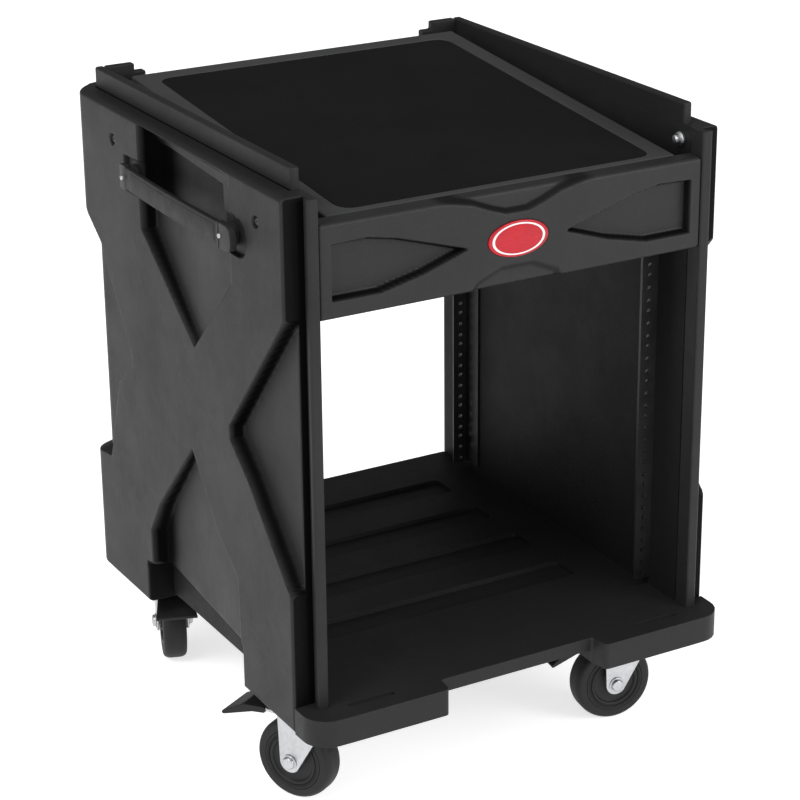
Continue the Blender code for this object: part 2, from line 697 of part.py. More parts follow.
def make_badge(group, tools):
    rim = add_piece(group, "badge_rim", badge_mesh("badge_rim", 0.0, 0.0012, 0.0012), "badge_rim")
    recess = badge_mesh("badge_recess", -0.0030, 0.004, 0.0002)
    combine(rim, add_tool(tools, "badge_recess", recess), "DIFFERENCE")
    face = badge_mesh("badge_face", -0.0034, 0.0017, -0.0001)
    bevel_edges(face, lambda a, b: max(a.y, b.y) < JAMB_FRONT - 0.0015, 0.0006, 2)
    add_piece(group, "badge_face", face, "badge_red")


# ---- top tray ----
def tray_frame():
    """Matrix of the tray's top face: origin at its front edge, +Y up the slope."""
    place = Matrix.Translation((0, TRAY_FRONT, TRAY_FRONT_TOP))
    return place @ Matrix.Rotation(math.atan(TRAY_SLOPE), 4, "X")


def mat_outline(grow):
    half = MAT_HALF + grow
    low, high = 0.010 - grow, 0.010 + MAT_LENGTH + grow
    radius = 0.018
    return rounded([(-half, low, radius), (half, low, radius), (half, high, radius),
                    (-half, high, radius)], 5)


def make_tray(group, tools):
    section = [(TRAY_FRONT, TRAY_FRONT_TOP), (TRAY_REAR, TRAY_REAR_TOP),
               (TRAY_REAR, TRAY_REAR_TOP - TRAY_THICK), (TRAY_FRONT, TRAY_FRONT_TOP - TRAY_THICK)]
    mesh = prism("top_tray", section, "YZ", -TRAY_HALF, TRAY_HALF)
    bevel_edges(mesh, lambda a, b: True, 0.002, 2)
    tray = add_piece(group, "top_tray", mesh, "tray_plastic")
    recess = prism("mat_recess", mat_outline(GAP + 0.0003), "XY", -MAT_DEPTH, 0.01)
    recess.transform(tray_frame())
    combine(tray, add_tool(tools, "tray_mat_recess", recess), "DIFFERENCE")
    mat = prism("tray_mat", mat_outline(0.0), "XY", -MAT_DEPTH + GAP, -0.0006)
    mat.transform(tray_frame())
    add_piece(group, "tray_mat", mat, "mat_foam")


def make_tray_screws(group):
    """Domed thumb screws in the inner walls that keep the tray from lifting."""
    profile = [(0.0, 0.0), (0.0085, 0.0), (0.0085, 0.0025), (0.0075, 0.0040), (0.0060, 0.0048),
               (0.0055, 0.0085), (0.0035, 0.0100), (0.0, 0.0105)]
    for label, side in (("left", -1), ("right", 1)):
        knob = solid_of_revolution("tray_screw", profile, 16)
        turn = Matrix.Rotation(-side * math.pi / 2, 4, "Y")
        spot = (side * (BAY_HALF - GAP), WALL_FRONT + 0.024, TRAY_FRONT_TOP + 0.012)
        knob.transform(Matrix.Translation(spot) @ turn)
        add_piece(group, "tray_screw_" + label, knob, "zinc_steel")


# ---- rack rails ----
def make_rail(group, tools, name, side, face_y, inward):
    """An angle rail: its flange faces out of the bay, its web is screwed to the wall."""
    outer = side * (BAY_HALF - GAP)
    inner = side * (BAY_HALF - GAP - RAIL_FLANGE)
    web = side * (BAY_HALF - GAP - RAIL_THICK)
    outline = [(outer, face_y), (inner, face_y), (inner, face_y + inward * RAIL_THICK),
               (web, face_y + inward * RAIL_THICK), (web, face_y + inward * RAIL_DEPTH),
               (outer, face_y + inward * RAIL_DEPTH)]
    mesh = prism(name, outline, "XY", RAIL_BOTTOM, RAIL_BOTTOM + RACK_UNITS * RACK_UNIT)
    rail = add_piece(group, name, mesh, "rail_steel")
    holes = bmesh.new()
    for unit in range(RACK_UNITS):
        for rise in RAIL_HOLES:
            height = RAIL_BOTTOM + unit * RACK_UNIT + rise
            spot = Vector((side * HOLE_SPACING_HALF, face_y, height))
            bmesh.ops.create_cone(
                holes, cap_ends=True, segments=8, radius1=0.0028, radius2=0.0028, depth=0.02,
                matrix=Matrix.Translation(spot) @ Matrix.Rotation(math.pi / 2, 4, "X"))
    cutter = bpy.data.meshes.new(name + "_holes")
    holes.to_mesh(cutter)
    holes.free()
    combine(rail, add_tool(tools, name + "_holes", cutter), "DIFFERENCE")


def make_rails(group, tools):
    for label, side in (("left", -1), ("right", 1)):
        make_rail(group, tools, "rack_rail_front_" + label, side, FRONT_RAIL_Y, 1)
        make_rail(group, tools, "rack_rail_rear_" + label, side, REAR_RAIL_Y, -1)


# ---- casters ----
def caster_empty(name, location, turn):
    empty = bpy.data.objects.new(name, None)
    bpy.context.scene.collection.objects.link(empty)
    empty.location = location
    empty.rotation_euler = (0, 0, turn)
    return empty


def caster_plate_mesh(name, place):
    """Mount plate with its four bolt heads and the upper bearing race below it."""
    top = CASTER_HEIGHT - GAP
    half_x, half_y = PLATE_HALF
    corner = 0.006
    outline = rounded([(-half_x, -half_y, corner), (half_x, -half_y, corner),
                       (half_x, half_y, corner), (-half_x, half_y, corner)], 3)
    plate = prism(name, outline, "XY", top - 0.003, top)
    plate.transform(place)
    return plate


def make_caster_plate(group, tools, name, x, y):
    place = Matrix.Translation((x, y, 0))
    plate = add_piece(group, name + "_plate", caster_plate_mesh(name, place), "zinc_steel")
    top = CASTER_HEIGHT - GAP
    race = cylinder_mesh("race", 0.0245, top - 0.009, top - 0.002, 20, top_radius=0.028)
    race.transform(place)
    combine(plate, add_tool(tools, name + "_race", race), "UNION")
    for index, (u, v) in enumerate(((-1, -1), (1, -1), (1, 1), (-1, 1))):
        bolt = cylinder_mesh("bolt", 0.0058, top - 0.0065, top - 0.002, 6)
        bolt.transform(Matrix.Translation((x + u * PLATE_BOLTS[0], y + v * PLATE_BOLTS[1], 0)))
        combine(plate, add_tool(tools, name + "_bolt_%d" % index, bolt), "UNION")


def fork_leg_outline():
    """Side view of a fork leg; u runs from the swivel axis towards the wheel."""
    axle = (TRAIL, WHEEL_RADIUS)
    tip = 0.0115
    top = (CROWN_LOW + CROWN_HIGH) / 2
    outline = [(-0.010, top), (-0.010, CROWN_LOW - 0.0045)]
    for step in range(6):
        angle = math.radians(228 + (360 - 228) * step / 5)
        outline.append((axle[0] + tip * math.cos(angle), axle[1] + tip * math.sin(angle)))
    outline.append((axle[0] + tip, top))
    return outline


def make_fork(group, tools, name, swivel):
    half = LEG_GAP_HALF + LEG_THICK
    front = PEDAL_HINGE[0] - 0.004
    side = half + GAP
    crown = prism(name, rounded([
        (-0.022, -side, 0.012), (front, -side, 0.004), (front, side, 0.004),
        (-0.022, side, 0.012)], 4), "XY", CROWN_LOW, CROWN_HIGH)
    fork = add_piece(group, name + "_fork", crown, "zinc_steel", swivel)
    for label, sign in (("a", -1), ("b", 1)):
        low, high = sorted((sign * LEG_GAP_HALF, sign * half))
        leg = prism("leg", fork_leg_outline(), "XZ", low, high)
        combine(fork, add_tool(tools, name + "_leg_" + label, leg, swivel), "UNION")
    race = cylinder_mesh("lower_race", 0.0205, CROWN_HIGH - 0.001, CASTER_HEIGHT - 0.0098, 20,
                         top_radius=0.0225)
    combine(fork, add_tool(tools, name + "_lower_race", race, swivel), "UNION")
    bore = cylinder_mesh("axle_bore", 0.0048, -0.04, 0.04, 12)
    bore.transform(Matrix.Translation((TRAIL, 0, WHEEL_RADIUS)) @ Matrix.Rotation(math.pi / 2, 4, "X"))
    combine(fork, add_tool(tools, name + "_bore", bore, swivel), "DIFFERENCE")


def along_axle(mesh):
    mesh.transform(Matrix.Rotation(math.pi / 2, 4, "X"))
    return mesh


def make_wheel(group, name, axle):
    half = WHEEL_WIDTH / 2
    rim = 0.0345
    tyre = turned_mesh("tyre", [
        (rim, -half + 0.001), (0.0455, -half + 0.001), (0.0485, -half + 0.0035),
        (WHEEL_RADIUS, -0.006), (WHEEL_RADIUS, 0.006), (0.0485, half - 0.0035),
        (0.0455, half - 0.001), (rim, half - 0.001)], 24)
    add_piece(group, name + "_tyre", along_axle(tyre), "tyre_rubber", axle)
    outer = rim - GAP
    hub = turned_mesh("hub", [
        (0.0050, -half), (0.0125, -half), (0.0145, -half + 0.004), (0.0275, -half + 0.004),
        (0.0290, -half + 0.001), (outer, -half + 0.001), (outer, half - 0.001),
        (0.0290, half - 0.001), (0.0275, half - 0.004), (0.0145, half - 0.004),
        (0.0125, half), (0.0050, half)], 20)
    add_piece(group, name + "_hub", along_axle(hub), "hub_plastic", axle)


def make_axle_bolt(group, name, axle):
    out = LEG_GAP_HALF + LEG_THICK + GAP
    bolt = solid_of_revolution("axle_bolt", [
        (0.0, -out - 0.0045), (0.0040, -out - 0.0045), (0.0075, -out - 0.0030), (0.0075, -out),
        (0.0044, -out), (0.0044, out), (0.0075, out), (0.0075, out + 0.0045),
        (0.0040, out + 0.0055), (0.0, out + 0.0055)], 10)
    add_piece(group, name + "_axle", along_axle(bolt), "zinc_steel", axle)


def make_pedal(group, name, swivel):
    """The brake pedal: a black tongue, wider at its tip, hinged on the nose of the fork."""
    hinge = caster_empty(name + "_pedal_hinge", (PEDAL_HINGE[0], 0, PEDAL_HINGE[1]), 0)
    hinge.parent = swivel
    section = rounded([
        (-0.0030, -0.0035, 0.003), (0.014, -0.0045, 0.004), (PEDAL_LENGTH - 0.0015, -0.0145, 0.002),
        (PEDAL_LENGTH, -0.0105, 0.002), (0.026, 0.0035, 0.012), (-0.0030, 0.0035, 0.003)], 3)
    pedal = prism(name + "_pedal", section, "XZ", -PEDAL_HALF, PEDAL_HALF)
    for vertex in pedal.vertices:
        share = min(max(vertex.co.x / PEDAL_LENGTH, 0.0), 1.0)
        vertex.co.y *= 1.0 + (PEDAL_TIP_HALF / PEDAL_HALF - 1.0) * share
    bevel_edges(pedal, lambda a, b: a.y * b.y > 0 and min(a.x, b.x) > 0.004, 0.0015, 1)
    add_piece(group, name + "_pedal", pedal, "pedal_plastic", hinge)


def make_casters(group, tools):
    for name, (side, (outward, y), trail_degrees) in CASTERS.items():
        x = side * outward
        make_caster_plate(group, tools, name, x, y)
        swivel = caster_empty(name + "_swivel", (x, y, 0), math.radians(trail_degrees))
        make_fork(group, tools, name, swivel)
        axle = caster_empty(name + "_wheel_axle", (TRAIL, 0, WHEEL_RADIUS), 0)
        axle.parent = swivel
        make_wheel(group, name, axle)
        make_axle_bolt(group, name, axle)
        make_pedal(group, name, swivel)


def main():
    clear_scene()
    group = new_collection("equipment_rack_case")
    tools = new_collection("cutters")
    for label, side in (("left", -1), ("right", 1)):
        make_side_shell(group, tools, label, side)
        make_shell_screws(group, label, side)
        make_handle(group, tools, label, side)
    make_base(group, tools)
    make_front_fascia(group, tools)
    make_rear_fascia(group, tools)
    make_badge(group, tools)
    make_tray(group, tools)
    make_tray_screws(group)
    make_rails(group, tools)
    make_casters(group, tools)


main()
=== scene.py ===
import math

import bmesh
import bpy
import numpy as np
from mathutils import Matrix, Vector, geometry


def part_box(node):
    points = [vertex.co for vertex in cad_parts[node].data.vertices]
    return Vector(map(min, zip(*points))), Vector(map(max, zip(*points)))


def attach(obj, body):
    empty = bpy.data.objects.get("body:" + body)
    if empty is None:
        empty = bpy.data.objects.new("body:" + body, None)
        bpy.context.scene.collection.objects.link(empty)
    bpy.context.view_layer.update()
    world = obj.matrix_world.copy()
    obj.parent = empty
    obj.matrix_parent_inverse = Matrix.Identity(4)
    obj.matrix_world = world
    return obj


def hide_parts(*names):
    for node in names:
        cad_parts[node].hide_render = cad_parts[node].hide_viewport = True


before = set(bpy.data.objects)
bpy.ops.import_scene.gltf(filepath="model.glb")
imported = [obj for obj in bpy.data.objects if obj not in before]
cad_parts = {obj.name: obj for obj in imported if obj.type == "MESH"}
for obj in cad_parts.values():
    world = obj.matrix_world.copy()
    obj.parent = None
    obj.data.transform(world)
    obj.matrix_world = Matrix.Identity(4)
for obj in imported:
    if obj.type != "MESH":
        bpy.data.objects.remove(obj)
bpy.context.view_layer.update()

# Sizes are in metres. "Back" runs from the front edge of a side wall to the rear, "up" from the
# underside of the case to its top. X is to the right, Y to the rear, Z up.

# ---- case ----
HALF_WIDTH = 0.280            # outer face of a side wall
BAY_HALF = 0.245              # inner face of a side wall
WALL_FRONT = -0.253
REAR = 0.303
UNDER = 0.127                 # underside of the case
FLOOR_TOP = 0.160
RIM = 0.754                   # top edge of the side walls
ARCH_START, ARCH_END = 0.131, 0.393         # back, arch between a wall's feet
ARCH_HEIGHT = 0.057
JAMB_FRONT = -0.271
JAMB_OUTER = 0.2585
JAMB_FOOT = 0.254             # outer side of the jamb where it meets the wall
TONGUE_TOP = 0.779
TONGUE_INNER, TONGUE_OUTER = 0.246, 0.257
TONGUE_START, TONGUE_END = 0.021, 0.534     # back
TRAY_FRONT = -0.2465
TRAY_FRONT_TOP = 0.725
TRAY_SLOPE = 0.0922
LEDGE_DROP = 0.0184           # top of the ledge below the tray's edge
LEDGE_THICK = 0.012
LINER_INSET = 0.004
APRON_FRONT = -0.303
APRON_CORNER = 0.047          # corner radius of the apron in the CAD
APRON_TRIM = 0.016            # how much smaller that radius is shown

# ---- surface of a side wall ----
# reliefs: outline (back, up), depth at its rear end, depth at its front end, run of its walls
RELIEFS = [
    ([(0.362, 0.6215), (0.362, 0.497), (0.228, 0.394), (0.124, 0.497), (0.124, 0.6215)],
     0.0190, 0.0012, 0.006),
    ([(0.131, -0.060), (0.136, 0.137), (0.187, 0.178), (0.247, 0.258), (0.345, 0.152),
      (0.376, 0.105), (0.376, -0.060)], 0.0210, 0.0020, 0.006),
    ([(-0.060, 0.561), (0.142, 0.325), (0.142, 0.309), (0.100, 0.275), (-0.060, 0.1058)],
     0.0175, 0.0175, 0.006),
    ([(0.616, 0.5380), (0.490, 0.4447), (0.414, 0.325), (0.414, 0.309), (0.456, 0.275),
      (0.493, 0.1640), (0.616, 0.1490)],
     0.0175, 0.0175, 0.006),
    # hand pocket, dish round the front end of the strap, dish at its rear end
    ([(0.142, 0.535), (0.358, 0.535), (0.358, 0.607), (0.142, 0.607)], 0.0260, 0.0260, 0.0045),
    ([(0.1455, 0.5345), (0.104, 0.5345), (0.092, 0.5385), (0.0855, 0.5475), (0.0850, 0.5600),
      (0.0895, 0.5700), (0.0985, 0.5765), (0.112, 0.5785), (0.1455, 0.5785)],
     0.0055, 0.0060, 0.003),
    ([(0.350, 0.535), (0.404, 0.535), (0.404, 0.577), (0.350, 0.577)], 0.0055, 0.0055, 0.003),
]
OUTSIDE = 0.3                 # share of a relief's run that lies outside its outline
# painted crease shade: depth of relief that darkens it fully, darkest value, its middle and
# reach in the run
WALL_CREASE_SHADE = (0.011, 1.0, 0.61, 0.46)
FASCIA_CREASE_SHADE = (0.0105, 0.9, 0.60, 0.52)
CREASE_SHADE_FADE = (0.465, 0.025, 0.75)          # back, run and amount of the painted crease shade's fading at the rear
SHELL_SCREWS = ((0.061, 0.586), (0.436, 0.588))
SCREW_HOLE = (0.0058, 0.0072, 0.0016)       # depth, radius, run
SCREW_SHADE = (0.0074, 0.002, 0.8)          # painted shade round a screw: radius, run, amount
REAR_ROUND = 0.033            # rounding of the rear edge
REAR_STEPS = (12, 24, 36, 47, 57, 66, 73, 79, 84, 87.5)    # degrees along that rounding
REAR_ROWS, REAR_ROW_GAP = 91, 0.0068
DEEPEST = 0.0335              # no part of the outer face lies deeper
EDGE_ROUND, RIM_ROUND = 0.0045, 0.0055
POCKET = (0.140, 0.368, 0.53, 0.612)        # back from, back to, up from, up to
POCKET_SHADE = (0.283, 0.038)               # back, run of the pocket's painted shade
POCKET_DARK = 0.018           # depth at which the pocket's painted shade is full
FOOT = (0.320, 0.376, 0.165)  # back from, back to, up to
FOOT_SHADE = (0.330, 0.028, 0.040, 0.9)     # painted shade of the foot: back, run back, run up, amount
FOOT_DEPTH = 0.010
ARCH_SIDE = (0.3925, 0.395)   # back, the arch's rear side
ARCH_SHADE, FRONT_SHADE = 0.8, 0.82         # painted shade on that side and on the wall's front face

# ---- front cross piece ----
FASCIA_HALF = 0.2447
FASCIA_LOW, FASCIA_HIGH = 0.617, 0.7245
FASCIA_BEAM_TOP = 0.7055
# reliefs: outline (x, up)
KITE = [(0.230, 0.511), (0.172, 0.511), (0.118, 0.523), (0.064, 0.541), (0.150, 0.567),
        (0.186, 0.574), (0.230, 0.573)]
TOP_BAY = [(-0.125, 0.650), (-0.112, 0.6010), (-0.078, 0.5940), (-0.056, 0.5890),
           (-0.034, 0.5800), (-0.014, 0.5735), (0.014, 0.5735), (0.034, 0.5800),
           (0.056, 0.5890), (0.078, 0.5940), (0.112, 0.6010), (0.125, 0.650)]
LOW_BAY = [(-0.076, 0.460), (-0.052, 0.500), (-0.020, 0.5135), (0.020, 0.5135),
           (0.052, 0.500), (0.076, 0.460)]
KITE_SIZE, TOP_BAY_SIZE, LOW_BAY_SIZE = (0.0105, 0.0045), (0.0070, 0.0080), (0.0040, 0.0090)
BADGE_SEAT = (0.0400, 0.0215, 0.670, 0.0012)        # half width, half height, z, depth
SWELL = (0.085, 0.040, 0.668, 0.0010)       # half width, half height, z and height of the bulge
BADGE_HALF = (0.0385, 0.0205)

# ---- strap handles ----
STRAP_Z = 0.683
STRAP_FRONT, STRAP_REAR = 0.078, 0.397      # back, ends of the strap
STRAP_BOW = 0.004             # how far its middle stands out
STRAP_HALF, RIB_HALF = 0.0138, 0.0098       # half heights of the strap and of its middle rib
CAP_HALF, LIP_HALF, HEEL_HALF = 0.0146, 0.0150, 0.0148

# ---- casters ----
# side, swivel axis (outward, y), direction of the trail in degrees
CASTERS = {"front_left": (-1, 0.2185, -0.205, 119.5), "front_right": (1, 0.2185, -0.205, 171.5),
           "rear_left": (-1, 0.202, 0.257, 250.0), "rear_right": (1, 0.202, 0.257, 240.0)}
WHEEL_RADIUS = 0.050
TRAIL = 0.035                 # wheel axle behind the swivel axis
TREAD_ROUND = (0.0440, 0.0060, 0.0055, 0.0095)      # start radius, rise, half flat, half curve
LEG_INNER, LEG_OUTER = 0.0180, 0.0210
LEG_TIP = 0.0135              # radius of a leg's end round the axle
LEG_TOP = 0.0026              # top of a leg below the top of the crown
CROWN_LOW, CROWN_HIGH = 0.1085, 0.1125
CROWN_HALF = 0.0213

# ---- mesh ----
SMALL = 1e-6
SEAM_FREE_ANGLE = 0.01        # CAD facets that bend less than this are joined
BEVEL_ANGLE, SOFT_ANGLE = 0.5, 0.6          # edges sharper than this are rounded

# ---- camera and light ----
CAMERA_SPOT = (-1.3896, -2.4556, 1.5014)
CAMERA_YAW, CAMERA_PITCH, CAMERA_ROLL = 29.56, 21.52, -0.55
LENS, SENSOR = 111.85, 36.0
BRIGHT_WAY = (-0.54, -0.83, 0.10)           # the studio is brightest towards this side
DIM_FROM, BRIGHT_FROM = -0.75, 0.85
DIM, BRIGHT = 0.16, 1.05
# name, place, target, size, power
LAMPS = (("key", (-2.4, -1.0, 2.9), (0, 0, 0.45), 1.2, 52.0),
         ("fill", (1.8, -2.8, 1.6), (0, 0, 0.4), 1.6, 53.0))
FLOOR_HALF = 30.0
FLOOR_WHITE, FLOOR_GLOW = (0.80, 0.80, 0.80, 1.0), 0.68
PURE_WHITE = (1.0, 1.0, 1.0, 1.0)


# ---- camera, light and floor ----
def linked(name, data):
    thing = bpy.data.objects.new(name, data)
    bpy.context.scene.collection.objects.link(thing)
    return thing


def add_camera():
    yaw, pitch, roll = (math.radians(turn) for turn in (CAMERA_YAW, CAMERA_PITCH, CAMERA_ROLL))
    forward = Vector((math.sin(yaw) * math.cos(pitch), math.cos(yaw) * math.cos(pitch),
                      -math.sin(pitch)))
    level = forward.cross(Vector((0, 0, 1))).normalized()
    up = level.cross(forward)
    right = level * math.cos(roll) + up * math.sin(roll)
    up = right.cross(forward)
    camera = bpy.data.cameras.new("camera")
    camera.sensor_width = SENSOR
    camera.lens = LENS
    camera.clip_end = 50.0
    holder = linked("camera", camera)
    turn = Matrix((right, up, -forward)).transposed().to_4x4()
    holder.matrix_world = Matrix.Translation(CAMERA_SPOT) @ turn
    bpy.context.scene.camera = holder


def add_area(name, spot, target, size, power):
    light = bpy.data.lights.new(name, "AREA")
    light.shape = "SQUARE"
    light.size = size
    light.energy = power
    holder = linked(name, light)
    holder.location = spot
    holder.rotation_euler = (Vector(target) - Vector(spot)).to_track_quat("-Z", "Y").to_euler()


def add_light():
    """A white studio that is bright in front and dim behind, with two soft lamps."""
    scene = bpy.context.scene
    scene.view_settings.view_transform = "Standard"
    world = bpy.data.worlds.new("studio")
    scene.world = world
    world.use_nodes = True
    tree = world.node_tree
    sky = tree.nodes["Background"]
    sky.inputs["Color"].default_value = PURE_WHITE
    way = tree.nodes.new("ShaderNodeTexCoord").outputs["Generated"]
    facing = tree.nodes.new("ShaderNodeVectorMath")
    facing.operation = "DOT_PRODUCT"
    tree.links.new(way, facing.inputs[0])
    facing.inputs[1].default_value = BRIGHT_WAY
    spread = tree.nodes.new("ShaderNodeMapRange")
    spread.interpolation_type = "SMOOTHSTEP"
    for key, number in (("From Min", DIM_FROM), ("From Max", BRIGHT_FROM), ("To Min", DIM),
                        ("To Max", BRIGHT)):
        spread.inputs[key].default_value = number
    tree.links.new(facing.outputs["Value"], spread.inputs["Value"])
    tree.links.new(spread.outputs["Result"], sky.inputs["Strength"])
    for lamp in LAMPS:
        add_area(*lamp)


def add_floor():
    work = bmesh.new()
    bmesh.ops.create_grid(work, x_segments=2, y_segments=2, size=FLOOR_HALF)
    mesh = bpy.data.meshes.new("floor")
    work.to_mesh(mesh)
    work.free()
    floor = linked("floor", mesh)
    paint = bpy.data.materials.new("floor_paper")
    paint.use_nodes = True
    shader = paint.node_tree.nodes["Principled BSDF"]
    shader.inputs["Base Color"].default_value = FLOOR_WHITE
    shader.inputs["Roughness"].default_value = 0.9
    shader.inputs["Specular IOR Level"].default_value = 0.1
    shader.inputs["Emission Color"].default_value = PURE_WHITE
    shader.inputs["Emission Strength"].default_value = FLOOR_GLOW
    mesh.materials.append(paint)


# ---- materials ----
class Graph:
    """Adds shader nodes to one material and links them."""

    def __init__(self, name):
        self.material = bpy.data.materials.new(name)
        self.material.use_nodes = True
        self.tree = self.material.node_tree
        self.shader = self.tree.nodes["Principled BSDF"]
        self.place = self.tree.nodes.new("ShaderNodeTexCoord").outputs["Object"]

    def add(self, kind, **inputs):
        node = self.tree.nodes.new(kind)
        for key, value in inputs.items():
            self.feed(node.inputs[key.replace("_", " ")], value)
        return node

    def feed(self, socket, value):
        if isinstance(value, bpy.types.NodeSocket):
            self.tree.links.new(value, socket)
        else:
            socket.default_value = value

    def stretched(self, scale):
        node = self.tree.nodes.new("ShaderNodeMapping")
        self.tree.links.new(self.place, node.inputs["Vector"])
        node.inputs["Scale"].default_value = scale
        return node.outputs["Vector"]

    def noise(self, scale, detail=3.0, rough=0.5, vector=None):
        node = self.add("ShaderNodeTexNoise", Scale=scale, Detail=detail, Roughness=rough)
        self.feed(node.inputs["Vector"], vector or self.place)
        return node.outputs["Fac"]

    def cells(self, scale, smooth=0.6):
        node = self.tree.nodes.new("ShaderNodeTexVoronoi")
        node.feature = "SMOOTH_F1"
        self.feed(node.inputs["Scale"], scale)
        self.feed(node.inputs["Smoothness"], smooth)
        self.feed(node.inputs["Vector"], self.place)
        return node.outputs["Distance"]

    def ranged(self, value, low, high, to_low=0.0, to_high=1.0):
        node = self.tree.nodes.new("ShaderNodeMapRange")
        self.feed(node.inputs["Value"], value)
        for key, number in (("From Min", low), ("From Max", high), ("To Min", to_low),
                            ("To Max", to_high)):
            node.inputs[key].default_value = number
        return node.outputs["Result"]

    def math(self, operation, first, second):
        node = self.tree.nodes.new("ShaderNodeMath")
        node.operation = operation
        self.feed(node.inputs[0], first)
        self.feed(node.inputs[1], second)
        return node.outputs[0]

    def sum(self, first, second):
        return self.math("ADD", first, second)

    def product(self, first, second):
        return self.math("MULTIPLY", first, second)

    def mixed(self, share, first, second):
        node = self.tree.nodes.new("ShaderNodeMix")
        node.data_type = "RGBA"
        self.feed(node.inputs["Factor"], share)
        self.feed(node.inputs[6], first)
        self.feed(node.inputs[7], second)
        return node.outputs[2]

    def bump(self, height, depth, strength=1.0, normal=None):
        node = self.add("ShaderNodeBump", Strength=strength, Distance=depth, Height=height)
        if normal is not None:
            self.feed(node.inputs["Normal"], normal)
        return node.outputs["Normal"]

    def attribute(self, name):
        node = self.tree.nodes.new("ShaderNodeAttribute")
        node.attribute_name = name
        return node.outputs["Fac"]

    def pointiness(self):
        return self.tree.nodes.new("ShaderNodeNewGeometry").outputs["Pointiness"]

    def set(self, **values):
        for key, value in values.items():
            self.feed(self.shader.inputs[key.replace("_", " ")], value)


PLAIN, COOL = (1.0, 1.0, 1.0), (0.985, 0.995, 1.02)


def grey(level, tint=COOL):
    return (level * tint[0], level * tint[1], level * tint[2], 1.0)


def moulded(name, level, rough=0.5, grain=650.0, height=0.00020, worn=0.0, crease_shade=0.0,
            shine=0.185):
    """Pebbled moulded plastic: grain, faint mottling, scuffed edges and painted shade in the
    creases.
    """
    graph = Graph(name)
    broad = graph.noise(7.0, 4.0, 0.6)
    fine = graph.noise(95.0, 4.0, 0.6)
    share = graph.sum(graph.product(broad, 0.65), graph.product(fine, 0.35))
    spread = graph.ranged(share, 0.3, 0.7)
    colour = graph.mixed(spread, grey(level * (1 - 0.12)), grey(level * (1 + 0.12)))
    if worn:
        edge = graph.ranged(graph.pointiness(), 0.505, 0.56, 0.0, worn)
        patchy = graph.ranged(graph.noise(38.0, 5.0, 0.7), 0.42, 0.62, 0.15, 1.0)
        colour = graph.mixed(graph.product(edge, patchy), colour, grey(level * 2.1))
    # painted shade: a per-vertex attribute darkens the colour and weakens the sheen along relief
    # walls and in recesses
    if crease_shade:
        dark = graph.attribute("crease_shade")
        colour = graph.mixed(graph.product(dark, crease_shade), colour, grey(level * 0.06))
        shine = graph.ranged(dark, 0.0, 1.0, shine, shine * (1 - crease_shade))
    pebble = graph.cells(grain, 0.8)
    dust = graph.noise(grain * 1.9, 2.0)
    normal = graph.bump(graph.sum(pebble, graph.product(dust, 0.35)), height)
    scuff = graph.sum(share, graph.noise(16.0, 5.0, 0.62))
    graph.set(Base_Color=colour, Normal=normal, Specular_IOR_Level=shine,
              Roughness=graph.ranged(scuff, 0.7, 1.3, rough + 0.06, rough - 0.06))
    return graph.material


def metal(name, level, rough):
    """Plated steel: spangled plate, fine drawn scratches and dull patches."""
    graph = Graph(name)
    spangle = graph.cells(210.0, 0.2)
    cloud = graph.noise(26.0, 5.0, 0.65)
    share = graph.ranged(graph.sum(graph.product(spangle, 0.4), cloud), 0.35, 0.95)
    colour = graph.mixed(share, grey(level * (1 - 0.12)), grey(level * (1 + 0.12)))
    lines = graph.noise(1.0, 6.0, 0.7, graph.stretched((30.0, 30.0, 400.0)))
    graph.set(Base_Color=colour, Normal=graph.bump(lines, 0.00006, 0.6), Metallic=1.0,
              Roughness=graph.ranged(graph.sum(cloud, lines), 0.6, 1.4, rough - 0.08,
                                     rough + 0.14))
    return graph.material


def coated(name, level, rough=0.42):
    """Powder-coated steel: orange-peel skin with small specks."""
    graph = Graph(name)
    cloud = graph.noise(40.0, 4.0, 0.6)
    speck = graph.ranged(graph.noise(900.0, 2.0), 0.62, 0.70, 0.0, 0.35)
    colour = graph.mixed(graph.ranged(cloud, 0.3, 0.7), grey(level * 0.85, PLAIN),
                         grey(level * 1.15, PLAIN))
    colour = graph.mixed(speck, colour, grey(level * 2.4, PLAIN))
    graph.set(Base_Color=colour, Normal=graph.bump(graph.noise(420.0, 3.0), 0.00012),
              Roughness=graph.ranged(cloud, 0.3, 0.7, rough - 0.06, rough + 0.08))
    return graph.material


def rubber(name, level, rough, grain=380.0, height=0.00018):
    """Rubber: dull, with a fine skin, dusty patches and rolled-in scuffs."""
    graph = Graph(name)
    dust = graph.noise(48.0, 5.0, 0.65)
    colour = graph.mixed(graph.ranged(dust, 0.35, 0.75), grey(level * 0.86), grey(level * 1.24))
    skin = graph.sum(graph.noise(grain, 4.0, 0.6), graph.cells(grain * 0.5))
    graph.set(Base_Color=colour, Normal=graph.bump(skin, height),
              Roughness=graph.ranged(dust, 0.3, 0.7, rough - 0.07, rough + 0.10),
              Specular_IOR_Level=0.24)
    return graph.material


def foam(name, level):
    """Closed-cell anti-slip mat: a field of tiny domes over a matt skin."""
    graph = Graph(name)
    dots = graph.cells(330.0, 0.35)
    cloud = graph.noise(9.0, 4.0, 0.6)
    colour = graph.mixed(graph.ranged(cloud, 0.3, 0.7), grey(level * 0.85, PLAIN),
                         grey(level * 1.2, PLAIN))
    normal = graph.bump(dots, 0.0005)
    normal = graph.bump(graph.noise(1400.0, 2.0), 0.00008, 1.0, normal)
    graph.set(Base_Color=colour, Normal=normal,
              Roughness=graph.ranged(cloud, 0.3, 0.7, 0.82, 0.94), Specular_IOR_Level=0.10)
    return graph.material


